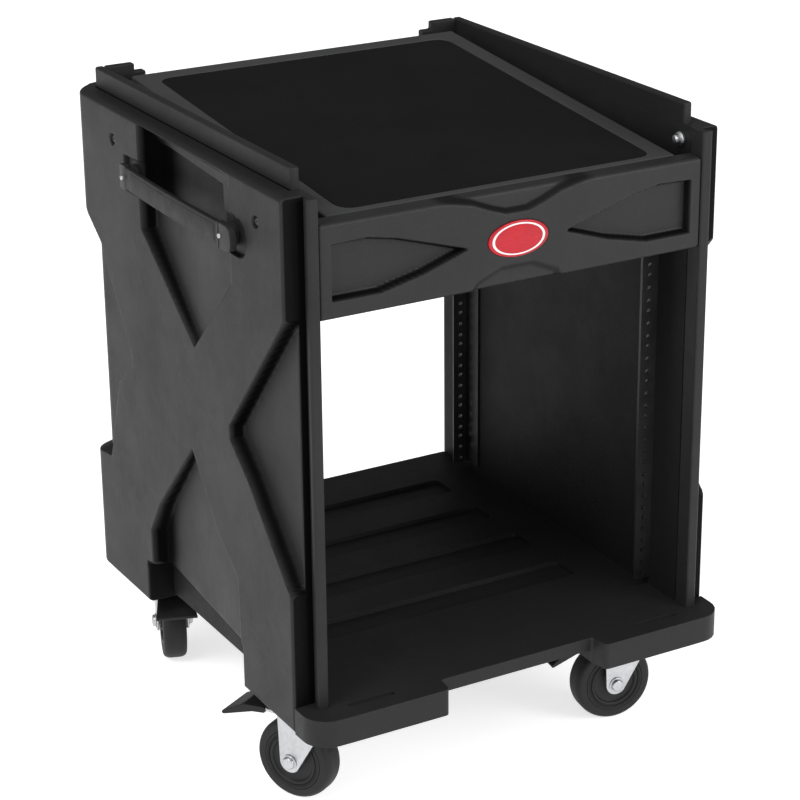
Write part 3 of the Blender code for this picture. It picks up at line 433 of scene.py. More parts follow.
def enamel(name, colour, rough=0.22):
    """Glossy printed plastic under a clear coat, with hairline scratches."""
    graph = Graph(name)
    cloud = graph.noise(60.0, 4.0, 0.6)
    dark = tuple(value * 0.86 for value in colour[:3]) + (1.0,)
    scratch = graph.noise(1.0, 5.0, 0.7, graph.stretched((70.0, 300.0, 1500.0)))
    graph.set(Base_Color=graph.mixed(graph.ranged(cloud, 0.3, 0.7), dark, colour),
              Normal=graph.bump(scratch, 0.00003, 0.5),
              Roughness=graph.ranged(scratch, 0.3, 0.7, rough - 0.05, rough + 0.10),
              Specular_IOR_Level=0.25, Coat_Weight=0.12, Coat_Roughness=0.08)
    return graph.material


# the crease amount is the strength of the painted shade in relief walls and recesses
SHELL = moulded("shell_moulding", 0.0145, 0.48, worn=0.12, crease_shade=0.93, shine=0.160)
FASCIA = moulded("fascia_moulding", 0.0165, 0.47, worn=0.12, crease_shade=0.93)
INNER = moulded("shell_inside", 0.0080, 0.60, shine=0.16)
# near-black paint for strips that stand in for shadow (painted shadow)
SHADOW_PAINT = moulded("shell_shadow_paint", 0.0020, 0.70, shine=0.03)
TRAY = moulded("tray_moulding", 0.0400, 0.46, grain=800.0, height=0.00016)
MAT = foam("mat_foam", 0.0060)
RAIL = coated("rail_coat", 0.0080)
ZINC = metal("zinc_plate", 0.47, 0.34)
BLACKED = coated("screw_black", 0.010, 0.36)
STRAP = rubber("strap_rubber", 0.0125, 0.55, 520.0, 0.00014)
CAP = moulded("cap_moulding", 0.0230, 0.44, grain=900.0, height=0.00010)
RED = enamel("badge_red", (0.40, 0.004, 0.013, 1.0))
WHITE = enamel("badge_white", (0.72, 0.72, 0.71, 1.0))
TYRE = rubber("tyre_rubber", 0.0125, 0.60)
HUB = moulded("hub_moulding", 0.0150, 0.46, grain=1100.0, height=0.00010)
PEDAL = moulded("pedal_moulding", 0.0130, 0.46, grain=900.0, height=0.00012)
# CAD nodes that keep their own mesh, by the start of their names
KEPT_NODES = (("rack_rail", RAIL), ("tray_screw", ZINC), ("shell_screw", BLACKED),
              ("handle_pad", CAP), ("tray_mat", MAT))


# ---- mesh helpers ----
def new_piece(name, mesh, paint, body, replaces=(), smooth=35.0):
    """Turns a mesh, in the part's own frame, into a piece that rides on a body."""
    piece = linked(name, mesh)
    mesh.materials.clear()
    mesh.materials.append(paint)
    mesh.shade_smooth()
    mesh.set_sharp_from_angle(angle=math.radians(smooth))
    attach(piece, body)
    if replaces:
        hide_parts(*replaces)
    return piece


def weighted(piece):
    step = piece.modifiers.new("weighted", "WEIGHTED_NORMAL")
    step.keep_sharp = True
    step.weight = 60


def mesh_of(work, name):
    mesh = bpy.data.meshes.new(name)
    bmesh.ops.recalc_face_normals(work, faces=work.faces)
    work.to_mesh(mesh)
    work.free()
    return mesh


def bevelled(work, width, segments, angle):
    edges = [edge for edge in work.edges
             if len(edge.link_faces) == 2 and edge.calc_face_angle(0.0) > angle]
    bmesh.ops.bevel(work, geom=edges, offset=width, segments=segments, profile=0.5,
                    affect="EDGES", clamp_overlap=True)


def extruded(outline, low, high, bevel=0.0, segments=2, axes="XZ"):
    """A solid from an outline in the plane of two axes and its extent along the third."""
    work = bmesh.new()
    spots = {"XZ": lambda u, v, w: (u, w, v), "YZ": lambda u, v, w: (w, u, v),
             "XY": lambda u, v, w: (u, v, w)}[axes]
    first = [work.verts.new(spots(u, v, low)) for u, v in outline]
    second = [work.verts.new(spots(u, v, high)) for u, v in outline]
    work.faces.new(first)
    work.faces.new(list(reversed(second)))
    count = len(outline)
    for index in range(count):
        after = (index + 1) % count
        work.faces.new((first[index], second[index], second[after], first[after]))
    bmesh.ops.recalc_face_normals(work, faces=work.faces)
    if bevel:
        bevelled(work, bevel, segments, BEVEL_ANGLE)
    return work


def merged(name, parts):
    """One mesh out of several bmeshes."""
    whole = bmesh.new()
    for part in parts:
        mesh = mesh_of(part, "part")
        whole.from_mesh(mesh)
        bpy.data.meshes.remove(mesh)
    return mesh_of(whole, name)


def turned(profile, steps=64, closed=False):
    """Turns a (radius, height) profile round Z."""
    work = bmesh.new()
    rings = []
    for radius, height in profile:
        if radius < SMALL:
            rings.append([work.verts.new((0, 0, height))])
            continue
        rings.append([work.verts.new((radius * math.cos(2 * math.pi * step / steps),
                                      radius * math.sin(2 * math.pi * step / steps), height))
                      for step in range(steps)])
    pairs = list(zip(rings, rings[1:]))
    if closed:
        pairs.append((rings[-1], rings[0]))
    for one, two in pairs:
        for step in range(steps):
            after = (step + 1) % steps
            corners = [one[step % len(one)], one[after % len(one)], two[after % len(two)],
                       two[step % len(two)]]
            unique = [vert for index, vert in enumerate(corners) if vert not in corners[:index]]
            if len(unique) > 2:
                work.faces.new(unique)
    bmesh.ops.recalc_face_normals(work, faces=work.faces)
    return work


def curved(start, corner, end, steps):
    """Points on the curve from start to end that bends towards a corner."""
    shares = [step / steps for step in range(steps + 1)]
    return [tuple(start * (1 - share) ** 2 + corner * 2 * share * (1 - share) + end * share ** 2)
            for share in shares]


def rounded_profile(points, radius, steps=4):
    """Rounds the inner corners of an open (radius, height) profile."""
    out = [points[0]]
    for before, here, after in zip(points, points[1:], points[2:]):
        a, b, c = Vector(before), Vector(here), Vector(after)
        first, second = (a - b), (c - b)
        reach = min(radius, first.length * 0.45, second.length * 0.45)
        out += curved(b + first.normalized() * reach, b, b + second.normalized() * reach, steps)
    out.append(points[-1])
    return out


def rounded(corners, steps=5):
    """Rounds (u, v, radius) corners of a closed outline; (u, v) corners stay sharp."""
    out = []
    count = len(corners)
    for index, corner in enumerate(corners):
        if len(corner) == 2:
            out.append(corner)
            continue
        here = Vector(corner[:2])
        first = Vector(corners[index - 1][:2]) - here
        second = Vector(corners[(index + 1) % count][:2]) - here
        half = first.angle(second) / 2
        reach = min(corner[2] / math.tan(half), first.length * 0.49, second.length * 0.49)
        out += curved(here + first.normalized() * reach, here,
                      here + second.normalized() * reach, steps)
    return out


def soft_copy(node, width, segments=3):
    """A copy of a CAD node's mesh with its facets joined and its edges rounded."""
    work = bmesh.new()
    work.from_mesh(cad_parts[node].data)
    bmesh.ops.remove_doubles(work, verts=work.verts, dist=0.00002)
    bmesh.ops.dissolve_limit(work, angle_limit=SEAM_FREE_ANGLE, verts=work.verts,
                             edges=work.edges)
    bmesh.ops.recalc_face_normals(work, faces=work.faces)
    bevelled(work, width, segments, SOFT_ANGLE)
    return work


# ---- moulded surfaces: a height field over a flat outline ----
def signed_distance(points, outline):
    """Distance of each point inside (+) or outside (-) a closed outline."""
    ring = np.array(outline, float)
    after = np.roll(ring, -1, 0)
    best = np.full(len(points), 1e9)
    inside = np.zeros(len(points), bool)
    for a, b in zip(ring, after):
        edge = b - a
        offset = points - a
        share = np.clip(offset @ edge / (edge @ edge), 0.0, 1.0)
        best = np.minimum(best, np.hypot(*(offset - share[:, None] * edge).T))
        crosses = (a[1] > points[:, 1]) != (b[1] > points[:, 1])
        if abs(edge[1]) > 1e-12:
            left = points[:, 0] < a[0] + (points[:, 1] - a[1]) * edge[0] / edge[1]
            inside ^= crosses & left
    return np.where(inside, best, -best)


def ramp(value, start, run):
    """Zero up to the start, one from a run beyond it."""
    return np.clip((value - start) / run, 0.0, 1.0)


def eased(value):
    value = np.clip(value, 0.0, 1.0)
    return value * value * (3.0 - 2.0 * value)


def band(value, middle, reach):
    """One near the middle of a range and zero outside it."""
    return np.clip(1.7 * (1.0 - np.abs(value - middle) / reach), 0.0, 1.0)


def quarter_round(distance, radius):
    """How far a surface falls away within a radius of its edge."""
    near = np.clip(radius - distance, 0.0, radius)
    return radius - np.sqrt(radius * radius - near * near)


def relief(places, outline, full, run, crease_shade):
    """Depth of a relief with sloping walls, and the painted shade along those walls."""
    depth_for_full, darkest, middle, reach = crease_shade
    step = (signed_distance(places, outline) + OUTSIDE * run) / run
    steep_shade = np.clip(full / depth_for_full, 0.0, darkest) * band(step, middle, reach)
    return full * eased(step), steep_shade


def spaced(outline, gap):
    """Points along a closed outline no more than a gap apart."""
    out = []
    for a, b in zip(outline, outline[1:] + outline[:1]):
        a, b = Vector(a), Vector(b)
        count = max(1, math.ceil((b - a).length / gap))
        out.extend(tuple(a.lerp(b, index / count)) for index in range(count))
    return out


def field_points(outline, depth_of, fine, coarse, rims):
    """Sample points: close together where the surface bends, far apart where it is flat."""
    ring = np.array(outline)
    low, high = ring.min(0), ring.max(0)
    across = np.arange(low[0] + fine / 2, high[0], fine)
    upward = np.arange(low[1] + fine / 2, high[1], fine)
    grid = np.array(np.meshgrid(across, upward, indexing="ij"))
    flat = grid.reshape(2, -1).T
    depth = depth_of(flat)[0].reshape(grid.shape[1:])
    bend = np.zeros(depth.shape)
    bend[1:-1] += np.abs(depth[2:] - 2 * depth[1:-1] + depth[:-2])
    bend[:, 1:-1] += np.abs(depth[:, 2:] - 2 * depth[:, 1:-1] + depth[:, :-2])
    keep = bend > 0.00003
    keep[1:] |= keep[:-1].copy()
    keep[:, 1:] |= keep[:, :-1].copy()
    every = max(1, round(coarse / fine))
    keep[::every, ::every] = True
    inside = signed_distance(flat, outline) > rims[-1]
    chosen = [tuple(point) for point in flat[keep.reshape(-1) & inside]]
    loop = np.array(spaced(outline, fine * 1.5))
    ahead = np.roll(loop, -1, 0) - np.roll(loop, 1, 0)
    normal = np.column_stack((-ahead[:, 1], ahead[:, 0])) / np.hypot(*ahead.T)[:, None]
    if signed_distance(loop[:1] + normal[:1] * 0.0005, outline)[0] < 0:
        normal = -normal
    for rim in rims:
        moved = loop + normal * rim
        good = signed_distance(moved, outline) > rim * 0.93
        chosen.extend(tuple(point) for point in moved[good])
    return [tuple(point) for point in loop], chosen


def field_mesh(outline, depth_of, spot, back, fine=0.0018, coarse=0.016,
               rims=(0.0003, 0.0010, 0.0020, 0.0032, 0.0045), extra=()):
    """A closed solid whose front follows depth_of and whose rim runs straight back.

    spot(u, v, depth) gives the place of a surface point, back(u, v) that of its rear point.
    """
    loop, inner = field_points(outline, depth_of, fine, coarse, rims)
    points = [Vector(point) for point in loop + inner + list(extra)]
    fence = [list(range(len(loop)))]
    verts, _, faces, _, _, _ = geometry.delaunay_2d_cdt(points, [], fence, 1, SMALL)
    flat = np.array([tuple(vert) for vert in verts])
    depth, crease_shade = depth_of(flat)
    work = bmesh.new()
    # per-vertex painted shade that the plastic material reads
    layer = work.verts.layers.float.new("crease_shade")
    made = []
    for (u, v), deep, dark in zip(flat, depth, crease_shade):
        vert = work.verts.new(spot(u, v, deep))
        vert[layer] = dark
        made.append(vert)
    for face in faces:
        work.faces.new([made[index] for index in face])
    rim = [edge for edge in work.edges if len(edge.link_faces) == 1]
    grown = bmesh.ops.extrude_edge_only(work, edges=rim)["geom"]
    places = {vert: index for index, vert in enumerate(made)}
    for edge in rim:
        for vert in edge.verts:
            for other in vert.link_edges:
                far = other.other_vert(vert)
                if far not in places and (far.co - vert.co).length < 1e-9:
                    far.co = back(*flat[places[vert]])
    last = [edge for edge in grown
            if isinstance(edge, bmesh.types.BMEdge) and len(edge.link_faces) == 1]
    bmesh.ops.contextual_create(work, geom=last)
    return work


# ---- side shells ----
def wall_outline():
    """Outline of a side wall, (y, z), with the arch between its feet."""
    low, high = WALL_FRONT + ARCH_START, WALL_FRONT + ARCH_END
    arch = UNDER + ARCH_HEIGHT
    return rounded([(WALL_FRONT, UNDER), (low, UNDER), (low, arch, 0.008), (high, arch, 0.008),
                    (high, UNDER), (REAR, UNDER), (REAR, RIM), (WALL_FRONT, RIM, 0.003)])


def wall_reliefs(back, up):
    """Depth of the reliefs and the screw holes, and the painted shade along their walls and
    round the screws.
    """
    local = np.column_stack((back, up))
    depth = np.zeros(len(local))
    crease_shade = np.zeros(len(local))
    fade_start, fade_run, fade = CREASE_SHADE_FADE
    for outline, rear, front, run in RELIEFS:
        ends = [corner[0] for corner in outline]
        full = front + (rear - front) * ramp(back, min(ends), max(ends) - min(ends))
        here, steep_shade = relief(local, outline, full, run, WALL_CREASE_SHADE)
        steep_shade = steep_shade * (1.0 - fade * ramp(back, fade_start, fade_run))
        covered = np.maximum(steep_shade, crease_shade * (here < depth + 0.002))
        crease_shade = np.where(here > depth - 0.0004, covered, crease_shade)
        depth = np.maximum(depth, here)
    hole_depth, hole_radius, hole_run = SCREW_HOLE
    shade_radius, shade_run, shade = SCREW_SHADE
    for screw_back, screw_up in SHELL_SCREWS:
        reach = np.hypot(back - screw_back, up - screw_up)
        crease_shade = np.maximum(crease_shade, eased((shade_radius - reach) / shade_run) * shade)
        depth = np.maximum(depth, hole_depth * eased((hole_radius - reach) / hole_run))
    return depth, crease_shade


def wall_edges(points, depth):
    """Rounds the edges of the wall; the rear one is wide and cuts into its reliefs."""
    distance = signed_distance(points, wall_outline())
    rear_edge = REAR - points[:, 0]
    inner = np.where(rear_edge < distance + 1e-7, 0.05, distance)
    depth = np.minimum(depth + quarter_round(rear_edge, REAR_ROUND), DEEPEST)
    depth = depth + quarter_round(np.maximum(inner, 0.0), EDGE_ROUND) * (depth < 0.024)
    return depth + quarter_round(RIM - points[:, 1], RIM_ROUND) * (depth < 0.020)


def wall_shade(points, back, up, depth, crease_shade):
    """Paints shade into the hand pocket, the foot behind the arch, the arch's rear side and the
    wall's front face.
    """
    near, far, lowest, highest = POCKET
    pocket = (up > lowest) & (up < highest) & (back > near) & (back < far)
    shade = ramp(back, *POCKET_SHADE) * ramp(depth, 0.0, POCKET_DARK)
    near, far, highest = FOOT
    foot = (back > near) & (back < far) & (up < highest) & (depth > FOOT_DEPTH)
    start, run, rise, amount = FOOT_SHADE
    low = ramp(back, start, run) * ramp(highest - up, 0.0, rise)
    crease_shade = np.maximum(crease_shade, np.where(foot, low * amount, 0.0))
    crease_shade = np.maximum(crease_shade, np.where(pocket, shade, 0.0))
    y, z = points[:, 0], points[:, 1]
    arch = (y > WALL_FRONT + ARCH_SIDE[0]) & (y < WALL_FRONT + ARCH_SIDE[1])
    crease_shade = np.where(arch & (z < UNDER + ARCH_HEIGHT), ARCH_SHADE, crease_shade)
    front = (y < WALL_FRONT + 0.0004) & (z > UNDER + 0.03)
    return np.where(front, np.maximum(crease_shade, FRONT_SHADE), crease_shade)


def wall_depth(points):
    """Depth of a side wall's outer face below its flat plane, and its painted crease shade."""
    back, up = points[:, 0] - WALL_FRONT, points[:, 1] - UNDER
    depth, crease_shade = wall_reliefs(back, up)
    depth = wall_edges(points, depth)
    return depth, wall_shade(points, back, up, depth, crease_shade)


def jamb_part(side):
    """The door jamb in front of the wall, with a step to a narrower foot."""
    step = WALL_FRONT - 0.011
    outline = rounded([
        (JAMB_FOOT, WALL_FRONT + 0.004), (JAMB_FOOT, step, 0.001), (JAMB_OUTER, step, 0.001),
        (JAMB_OUTER, JAMB_FRONT, 0.0035), (BAY_HALF, JAMB_FRONT, 0.0030),
        (BAY_HALF, WALL_FRONT + 0.004)], 5)
    work = extruded([(side * u, v) for u, v in outline], FLOOR_TOP + 0.0003, RIM - 0.0002,
                    axes="XY")
    crown = [edge for edge in work.edges
             if min(vert.co.z for vert in edge.verts) > RIM - 0.001]
    bmesh.ops.bevel(work, geom=crown, offset=0.0028, segments=4, profile=0.5, affect="EDGES",
                    clamp_overlap=True)
    return work


def tongue_part(side):
    """The raised lid tongue along the rim, with rounded edges and ends."""
    outline = [(side * TONGUE_INNER, RIM - 0.006), (side * TONGUE_OUTER, RIM - 0.006),
               (side * TONGUE_OUTER, TONGUE_TOP), (side * TONGUE_INNER, TONGUE_TOP)]
    return extruded(outline, WALL_FRONT + TONGUE_START, WALL_FRONT + TONGUE_END, 0.003, 4)


def ledge_part(side):
    """The rib that carries the edge of the tray."""
    front, rear = TRAY_FRONT + 0.022, REAR - 0.0615

    def height(y):
        return TRAY_FRONT_TOP + (y - TRAY_FRONT) * TRAY_SLOPE - LEDGE_DROP

    outline = [(front, height(front)), (rear, height(rear)), (rear, height(rear) - LEDGE_THICK),
               (front, height(front) - LEDGE_THICK)]
    low, high = sorted((side * 0.2145, side * 0.248))
    return extruded(outline, low, high, 0.002, 3, "YZ")


def add_side_shells():
    rear_lines = [(REAR - REAR_ROUND + REAR_ROUND * math.sin(math.radians(angle)),
                   UNDER + 0.007 + REAR_ROW_GAP * row)
                  for angle in REAR_STEPS for row in range(REAR_ROWS)]
    field = field_mesh(
        wall_outline(), wall_depth,
        lambda y, z, deep: (-(HALF_WIDTH - deep), y, z),
        lambda y, z: (-(BAY_HALF + 0.0003), y, z), extra=rear_lines)
    left = mesh_of(field, "left_field")
    for label, side in (("left", -1), ("right", 1)):
        skin = bmesh.new()
        skin.from_mesh(left)
        if side > 0:
            bmesh.ops.transform(skin, matrix=Matrix.Scale(-1, 4, (1, 0, 0)), verts=skin.verts)
            bmesh.ops.reverse_faces(skin, faces=skin.faces)
        mesh = merged("shell_" + label,
                      [skin, jamb_part(side), tongue_part(side), ledge_part(side)])
        weighted(new_piece("shell_" + label, mesh, SHELL, "case",
                           ["side_shell_" + label], 50.0))
        add_wall_liner(label, side)


def add_wall_liner(label, side):
    """The darker inner face of the bay, and near-black strips at the foot of the tongue and
    beside the jamb that stand in for the shadow there (painted shadow).
    """
    front, rear, low = JAMB_FRONT + 0.024, REAR - LINER_INSET, UNDER + LINER_INSET
    outline = rounded([(front, low), (rear, low), (rear, 0.704, 0.002), (front, 0.700, 0.002)])
    near, far = sorted((side * (BAY_HALF - 0.0001), side * (BAY_HALF + 0.0012)))
    new_piece("bay_liner_" + label,
              merged("bay_liner", [extruded(outline, near, far, axes="YZ")]),
              INNER, "case")
    # painted shadow: a near-black strip along the foot of the tongue
    foot = [(TONGUE_OUTER - 0.0005, RIM - 0.001), (TONGUE_OUTER + 0.0011, RIM - 0.001),
            (TONGUE_OUTER + 0.0009, RIM + 0.0007), (TONGUE_OUTER - 0.0005, RIM + 0.0011)]
    tongue_shadow = extruded([(side * u, v) for u, v in foot], WALL_FRONT + TONGUE_START + 0.0015,
                    WALL_FRONT + TONGUE_END - 0.0015)
    # painted shadow: a near-black strip on the wall's front face, standing in for the shadow in
    # the gap beside the jamb
    slot = rounded([(0.2545, WALL_FRONT - 0.0006), (0.2616, WALL_FRONT - 0.0006, 0.0004),
                    (0.2620, WALL_FRONT + 0.001), (0.2545, WALL_FRONT + 0.001)])
    gap = extruded([(side * u, v) for u, v in slot], UNDER + 0.036, RIM - 0.0065, axes="XY")
    new_piece("shell_shadow_strips_" + label, merged("shell_shadow_strips", [tongue_shadow, gap]), SHADOW_PAINT, "case")


# ---- fascias and base ----
def fascia_depth(points):
    """Depth of the front cross piece's face below its flat plane, and its painted crease shade.
    """
    x, z = points[:, 0], points[:, 1]
    local = np.column_stack((x, z - UNDER))
    mirrored = np.column_stack((-local[:, 0], local[:, 1]))
    depth = np.zeros(len(points))
    crease_shade = np.zeros(len(points))
    for places, outline, (full, run) in ((local, KITE, KITE_SIZE), (mirrored, KITE, KITE_SIZE),
                                         (local, TOP_BAY, TOP_BAY_SIZE),
                                         (local, LOW_BAY, LOW_BAY_SIZE)):
        here, steep_shade = relief(places, outline, full, run, FASCIA_CREASE_SHADE)
        crease_shade = np.maximum(crease_shade, steep_shade)
        depth = np.maximum(depth, here)
    width, height, middle, deep = BADGE_SEAT
    oval = np.hypot(x / width, (z - middle) / height)
    depth = np.maximum(depth, deep * eased((1.0 - oval) / 0.05))
    width, height, middle, rise = SWELL
    swell = np.exp(-(x / width) ** 2 - ((z - middle) / height) ** 2)
    depth = depth + rise * (1.0 - swell)
    depth = depth + quarter_round(FASCIA_HIGH - z, 0.0045)
    depth = depth + quarter_round(z - FASCIA_LOW, 0.0060)
    depth = depth + quarter_round(FASCIA_HALF - np.abs(x), 0.0030)
    return depth, crease_shade


def add_front_fascia():
    outline = [(-FASCIA_HALF, FASCIA_LOW), (FASCIA_HALF, FASCIA_LOW),
               (FASCIA_HALF, FASCIA_HIGH), (-FASCIA_HALF, FASCIA_HIGH)]
    field = field_mesh(
        outline, fascia_depth, lambda x, z, deep: (x, JAMB_FRONT + deep, z),
        lambda x, z: (x, TRAY_FRONT - 0.0007, z), 0.0016, 0.012,
        (0.0002, 0.0006, 0.0013, 0.0023, 0.0035, 0.0048, 0.0062))
    front, rear, low = TRAY_FRONT - 0.004, JAMB_FRONT + 0.045, FASCIA_LOW + 0.0003
    beam = extruded(rounded([(front, low), (rear, low, 0.004), (rear, FASCIA_BEAM_TOP, 0.001),
                             (front, FASCIA_BEAM_TOP)]), -FASCIA_HALF, FASCIA_HALF, axes="YZ")
    mesh = merged("fascia", [field, beam])
    weighted(new_piece("fascia_front", mesh, FASCIA, "case",
                       ["front_fascia"], 50.0))


def tighter_corner(work):
    """Narrows the rounding of the apron's two outer corners."""
    for vert in work.verts:
        side = 1.0 if vert.co.x > 0 else -1.0
        middle = Vector((side * (HALF_WIDTH - APRON_CORNER), APRON_FRONT + APRON_CORNER))
        way = vert.co.xy - middle
        if way.x * side >= 0 and way.y <= 0 and way.length > APRON_CORNER - 0.006:
            closer = middle + Vector((side, -1.0)) * APRON_TRIM
            vert.co.xy = closer + way.normalized() * (way.length - APRON_TRIM)


def add_base():
    work = soft_copy("base_tub", 0.0020)
    tighter_corner(work)
    weighted(new_piece("base_moulding", mesh_of(work, "base"), SHELL, "case",
                       ["base_tub"], 40.0))


def add_soft_cad(node, name, width, paint, body="case", segments=3):
    mesh = mesh_of(soft_copy(node, width, segments), name)
    weighted(new_piece(name, mesh, paint, body, [node], 40.0))


# ---- badge ----
def oval_mesh(rings, spot, steps=96, capped=True):
    """Nested ovals (share of the full size, height) joined into a skin that faces the front."""
    half_width, half_height = BADGE_HALF
    turns = [2 * math.pi * step / steps for step in range(steps)]
    work = bmesh.new()
    loops = []
    for share, height in rings:
        loops.append([work.verts.new((spot[0] + share * half_width * math.cos(turn),
                                      spot[1] - height,
                                      spot[2] + share * half_height * math.sin(turn)))
                      for turn in turns])
    for one, two in zip(loops, loops[1:] + ([] if capped else loops[:1])):
        for step in range(steps):
            after = (step + 1) % steps
            work.faces.new((one[step], one[after], two[after], two[step]))
    if capped:
        work.faces.new(loops[-1])
        work.faces.new(list(reversed(loops[0])))
    bmesh.ops.recalc_face_normals(work, faces=work.faces)
    return work


def add_badge():
    """A red oval with a thin pale ring set in from its edge and nothing written on it."""
    low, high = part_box("badge_face")
    spot = ((low[0] + high[0]) / 2, JAMB_FRONT + 0.0008, (low[2] + high[2]) / 2)

    def dome(share):
        return 0.0014 + 0.0012 * (1.0 - share * share)

    red = [(1.0, -0.0006), (1.0, 0.0007), (0.994, 0.0011), (0.982, 0.0014)]
    red += [(share, dome(share)) for share in (0.95, 0.88, 0.78, 0.65, 0.50, 0.35, 0.18, 0.05)]
    new_piece("badge_oval", merged("badge_oval", [oval_mesh(red, spot)]), RED, "case",
              ["badge_face"], 60.0)
    ring = [(0.800, dome(0.80) - 0.0004), (0.802, dome(0.80) + 0.00012),
            (0.815, dome(0.815) + 0.0003), (0.868, dome(0.868) + 0.0003),
            (0.881, dome(0.88) + 0.00012), (0.883, dome(0.88) - 0.0004)]
    new_piece("badge_ring", merged("badge_ring", [oval_mesh(ring, spot, capped=False)]), WHITE,
              "case", ["badge_rim"], 60.0)


# ---- strap handles ----
def bowed(work, side, slices=26):
    """Slices a strap across its length and bends its middle away from the wall."""
    start, length = WALL_FRONT + STRAP_FRONT, STRAP_REAR - STRAP_FRONT
    for index in range(1, slices):
        bmesh.ops.bisect_plane(work, geom=work.verts[:] + work.edges[:] + work.faces[:],
                               plane_co=(0, start + length * index / slices, 0),
                               plane_no=(0, 1, 0), dist=0.00001)
    for vert in work.verts:
        share = min(max((vert.co.y - start) / length, 0.0), 1.0)
        vert.co.x += side * STRAP_BOW * math.sin(math.pi * share)
    return work


def strap_outline(front, rear, half, front_radius, rear_radius, steps=5):
    """A rounded oblong along the wall, (y, z), at the height of the strap."""
    low, high = STRAP_Z - half, STRAP_Z + half
    return rounded([(front, low, front_radius), (rear, low, rear_radius),
                    (rear, high, rear_radius), (front, high, front_radius)], steps)


def on_wall(side, outline, low, high, bevel, segments):
    """A solid from low to high outside the wall's outer face."""
    near, far = sorted((side * (HALF_WIDTH + low), side * (HALF_WIDTH + high)))
    return extruded(outline, near, far, bevel, segments, "YZ")


def add_handle(label, side):
    front, rear = WALL_FRONT + STRAP_FRONT + 0.026, WALL_FRONT + STRAP_REAR - 0.004
    outline = strap_outline(front, rear, STRAP_HALF, 0.006, 0.0035)
    strap = bowed(on_wall(side, outline, 0.0037, 0.0098, 0.0016, 3), side)
    outline = strap_outline(front + 0.034, rear - 0.026, RIB_HALF, 0.002, 0.002)
    rib = bowed(on_wall(side, outline, 0.0090, 0.0102, 0.0004, 2), side)
    new_piece("strap_" + label, merged("strap", [strap, rib]), STRAP, "case",
              ["handle_strap_" + label], 40.0)

    tip, end = WALL_FRONT + STRAP_FRONT + 0.0195, WALL_FRONT + STRAP_FRONT + 0.0500
    cap = rounded([(end, STRAP_Z - CAP_HALF, 0.001), (end, STRAP_Z + CAP_HALF, 0.001),
                   (tip + 0.003, STRAP_Z + CAP_HALF, 0.0125),
                   (tip, STRAP_Z - CAP_HALF, 0.0125)], 8)
    lip = [(end - 0.0012, STRAP_Z - LIP_HALF), (end + 0.0022, STRAP_Z - LIP_HALF),
           (end + 0.0022, STRAP_Z + LIP_HALF), (end - 0.0012, STRAP_Z + LIP_HALF)]
    heel = strap_outline(rear - 0.0150, rear + 0.0008, HEEL_HALF, 0.001, 0.003)
    parts = [on_wall(side, cap, 0.0039, 0.0124, 0.0026, 4),
             on_wall(side, lip, 0.0039, 0.0132, 0.0008, 2),
             on_wall(side, heel, 0.0039, 0.0108, 0.0012, 3)]
    new_piece("strap_ends_" + label, merged("strap_ends", parts), CAP, "case", (),
              40.0)
    for place in ("front", "rear"):
        add_strap_pin(label, side, place)


def add_strap_pin(label, side, place):
    node = "handle_screw_%s_%s" % (label, place)
    low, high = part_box(node)
    head = turned(rounded_profile([
        (0.0, 0.0), (0.0031, 0.0), (0.0031, 0.0088), (0.0026, 0.0102), (0.0012, 0.0106),
        (0.0010, 0.0098), (0.0, 0.0098)], 0.0006), 32)
    turn = Matrix.Translation((side * (HALF_WIDTH + 0.0042), (low[1] + high[1]) / 2,
                               (low[2] + high[2]) / 2))
    turn = turn @ Matrix.Rotation(side * math.pi / 2, 4, "Y")
    bmesh.ops.transform(head, matrix=turn, verts=head.verts)
    new_piece("strap_pin_%s_%s" % (label, place), merged("pin", [head]), ZINC, "case",
              [node], 40.0)


# ---- casters ----
def mirrored_profile(half):
    return half + [(radius, -along) for radius, along in reversed(half)]


def tyre_part():
    start, rise, flat, curve = TREAD_ROUND
    half = [(0.0345, -0.0150), (0.0366, -0.0152), (0.0372, -0.0144), (0.0380, -0.0152),
            (start, -0.0150)]
    for step in range(1, 10):
        angle = math.radians(90 * step / 9)
        half.append((start + rise * math.sin(angle), -flat - curve * math.cos(angle)))
    return turned(mirrored_profile(half), 112, True)


def hub_part():
    half = rounded_profile([
        (0.0052, -0.0040), (0.0052, -0.0160), (0.0122, -0.0160), (0.0146, -0.0122),
        (0.0262, -0.0118), (0.0282, -0.0150), (0.0304, -0.0153), (0.0310, -0.0132),
        (0.0324, -0.0132), (0.0330, -0.0150), (0.0342, -0.0149), (0.0342, -0.0040)], 0.0009, 3)
    return turned(mirrored_profile(half), 96, True)


def axle_part():
    half = rounded_profile([
        (0.0, -0.0266), (0.0030, -0.0266), (0.0066, -0.0260), (0.0078, -0.0240),
        (0.0078, -0.0223), (0.0096, -0.0223), (0.0096, -0.0213), (0.0044, -0.0213),
        (0.0044, -0.0100)], 0.0006, 3)
    return turned(mirrored_profile(half), 48)


def leg_outline():
    outline = [(-0.0105, CROWN_HIGH - LEG_TOP), (-0.0105, CROWN_LOW - 0.0060)]
    for step in range(15):
        angle = math.radians(222 + (360 - 222) * step / 14)
        outline.append((TRAIL + LEG_TIP * math.cos(angle),
                        WHEEL_RADIUS + LEG_TIP * math.sin(angle)))
    outline.append((TRAIL + 0.0150, CROWN_LOW - 0.020))
    outline.append((TRAIL + 0.0160, CROWN_HIGH - LEG_TOP))
    return outline


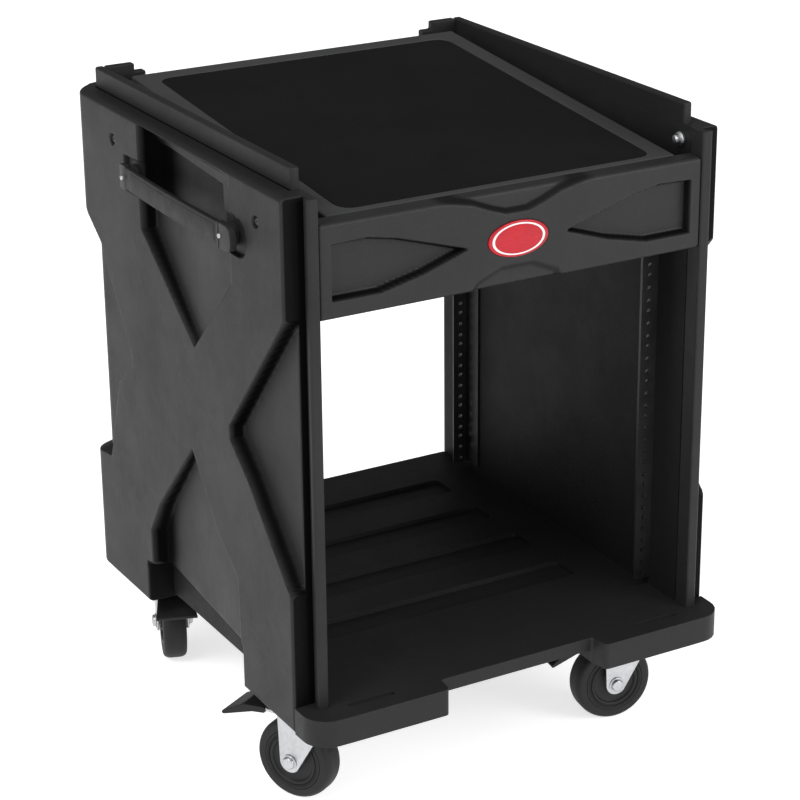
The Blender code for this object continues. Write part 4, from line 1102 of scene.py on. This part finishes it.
def fork_parts():
    front, rear = TRAIL + 0.034, -0.022
    crown = extruded(rounded([(rear, -CROWN_HALF, 0.012), (front, -CROWN_HALF, 0.006),
                              (front, CROWN_HALF, 0.006), (rear, CROWN_HALF, 0.012)], 8),
                     CROWN_LOW, CROWN_HIGH, 0.0012, 3, "XY")
    legs = [extruded(leg_outline(), *sorted((sign * LEG_INNER, sign * LEG_OUTER)), 0.0006)
            for sign in (-1, 1)]
    race = turned(rounded_profile([(0.0, 0.1115), (0.0205, 0.1115), (0.0226, 0.1150),
                                   (0.0222, 0.1168), (0.0, 0.1168)], 0.001), 64)
    return [crown, race] + legs


def add_caster(name, side, outward, y, trail):
    swivel = Matrix.Translation((side * outward, y, 0))
    swivel = swivel @ Matrix.Rotation(math.radians(trail), 4, "Z")
    axle = swivel @ Matrix.Translation((TRAIL, 0, WHEEL_RADIUS))
    axle = axle @ Matrix.Rotation(math.pi / 2, 4, "X")
    node = "caster_" + name
    for suffix, parts, turn, paint, body, slot in (
            ("tyre", [tyre_part()], axle, TYRE, "wheel", "tyre_rubber"),
            ("hub", [hub_part()], axle, HUB, "wheel", "hub_plastic"),
            ("axle", [axle_part()], axle, ZINC, "wheel", "zinc_steel"),
            ("fork", fork_parts(), swivel, ZINC, "swivel", "zinc_steel")):
        for part in parts:
            bmesh.ops.transform(part, matrix=turn, verts=part.verts)
        new_piece("%s_%s_shaped" % (node, suffix), merged(suffix, parts), paint,
                  name + "_" + body, ["%s_%s" % (node, suffix)], 40.0)
    add_soft_cad(node + "_pedal", node + "_pedal_shaped", 0.0008, PEDAL,
                 name + "_brake", 2)
    add_soft_cad(node + "_plate", node + "_plate_shaped", 0.0004, ZINC, "case", 2)


# ---- run ----
add_camera()
add_light()
add_floor()
add_side_shells()
add_front_fascia()
add_badge()
for label, side in (("left", -1), ("right", 1)):
    add_handle(label, side)
for name, (side, outward, y, trail) in CASTERS.items():
    add_caster(name, side, outward, y, trail)
add_base()
add_soft_cad("rear_fascia", "fascia_rear", 0.0015, SHELL)
add_soft_cad("top_tray", "tray_moulding", 0.0008, TRAY)

for node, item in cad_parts.items():
    for start, paint in KEPT_NODES:
        if node.startswith(start):
            item.data.materials.clear()
            item.data.materials.append(paint)
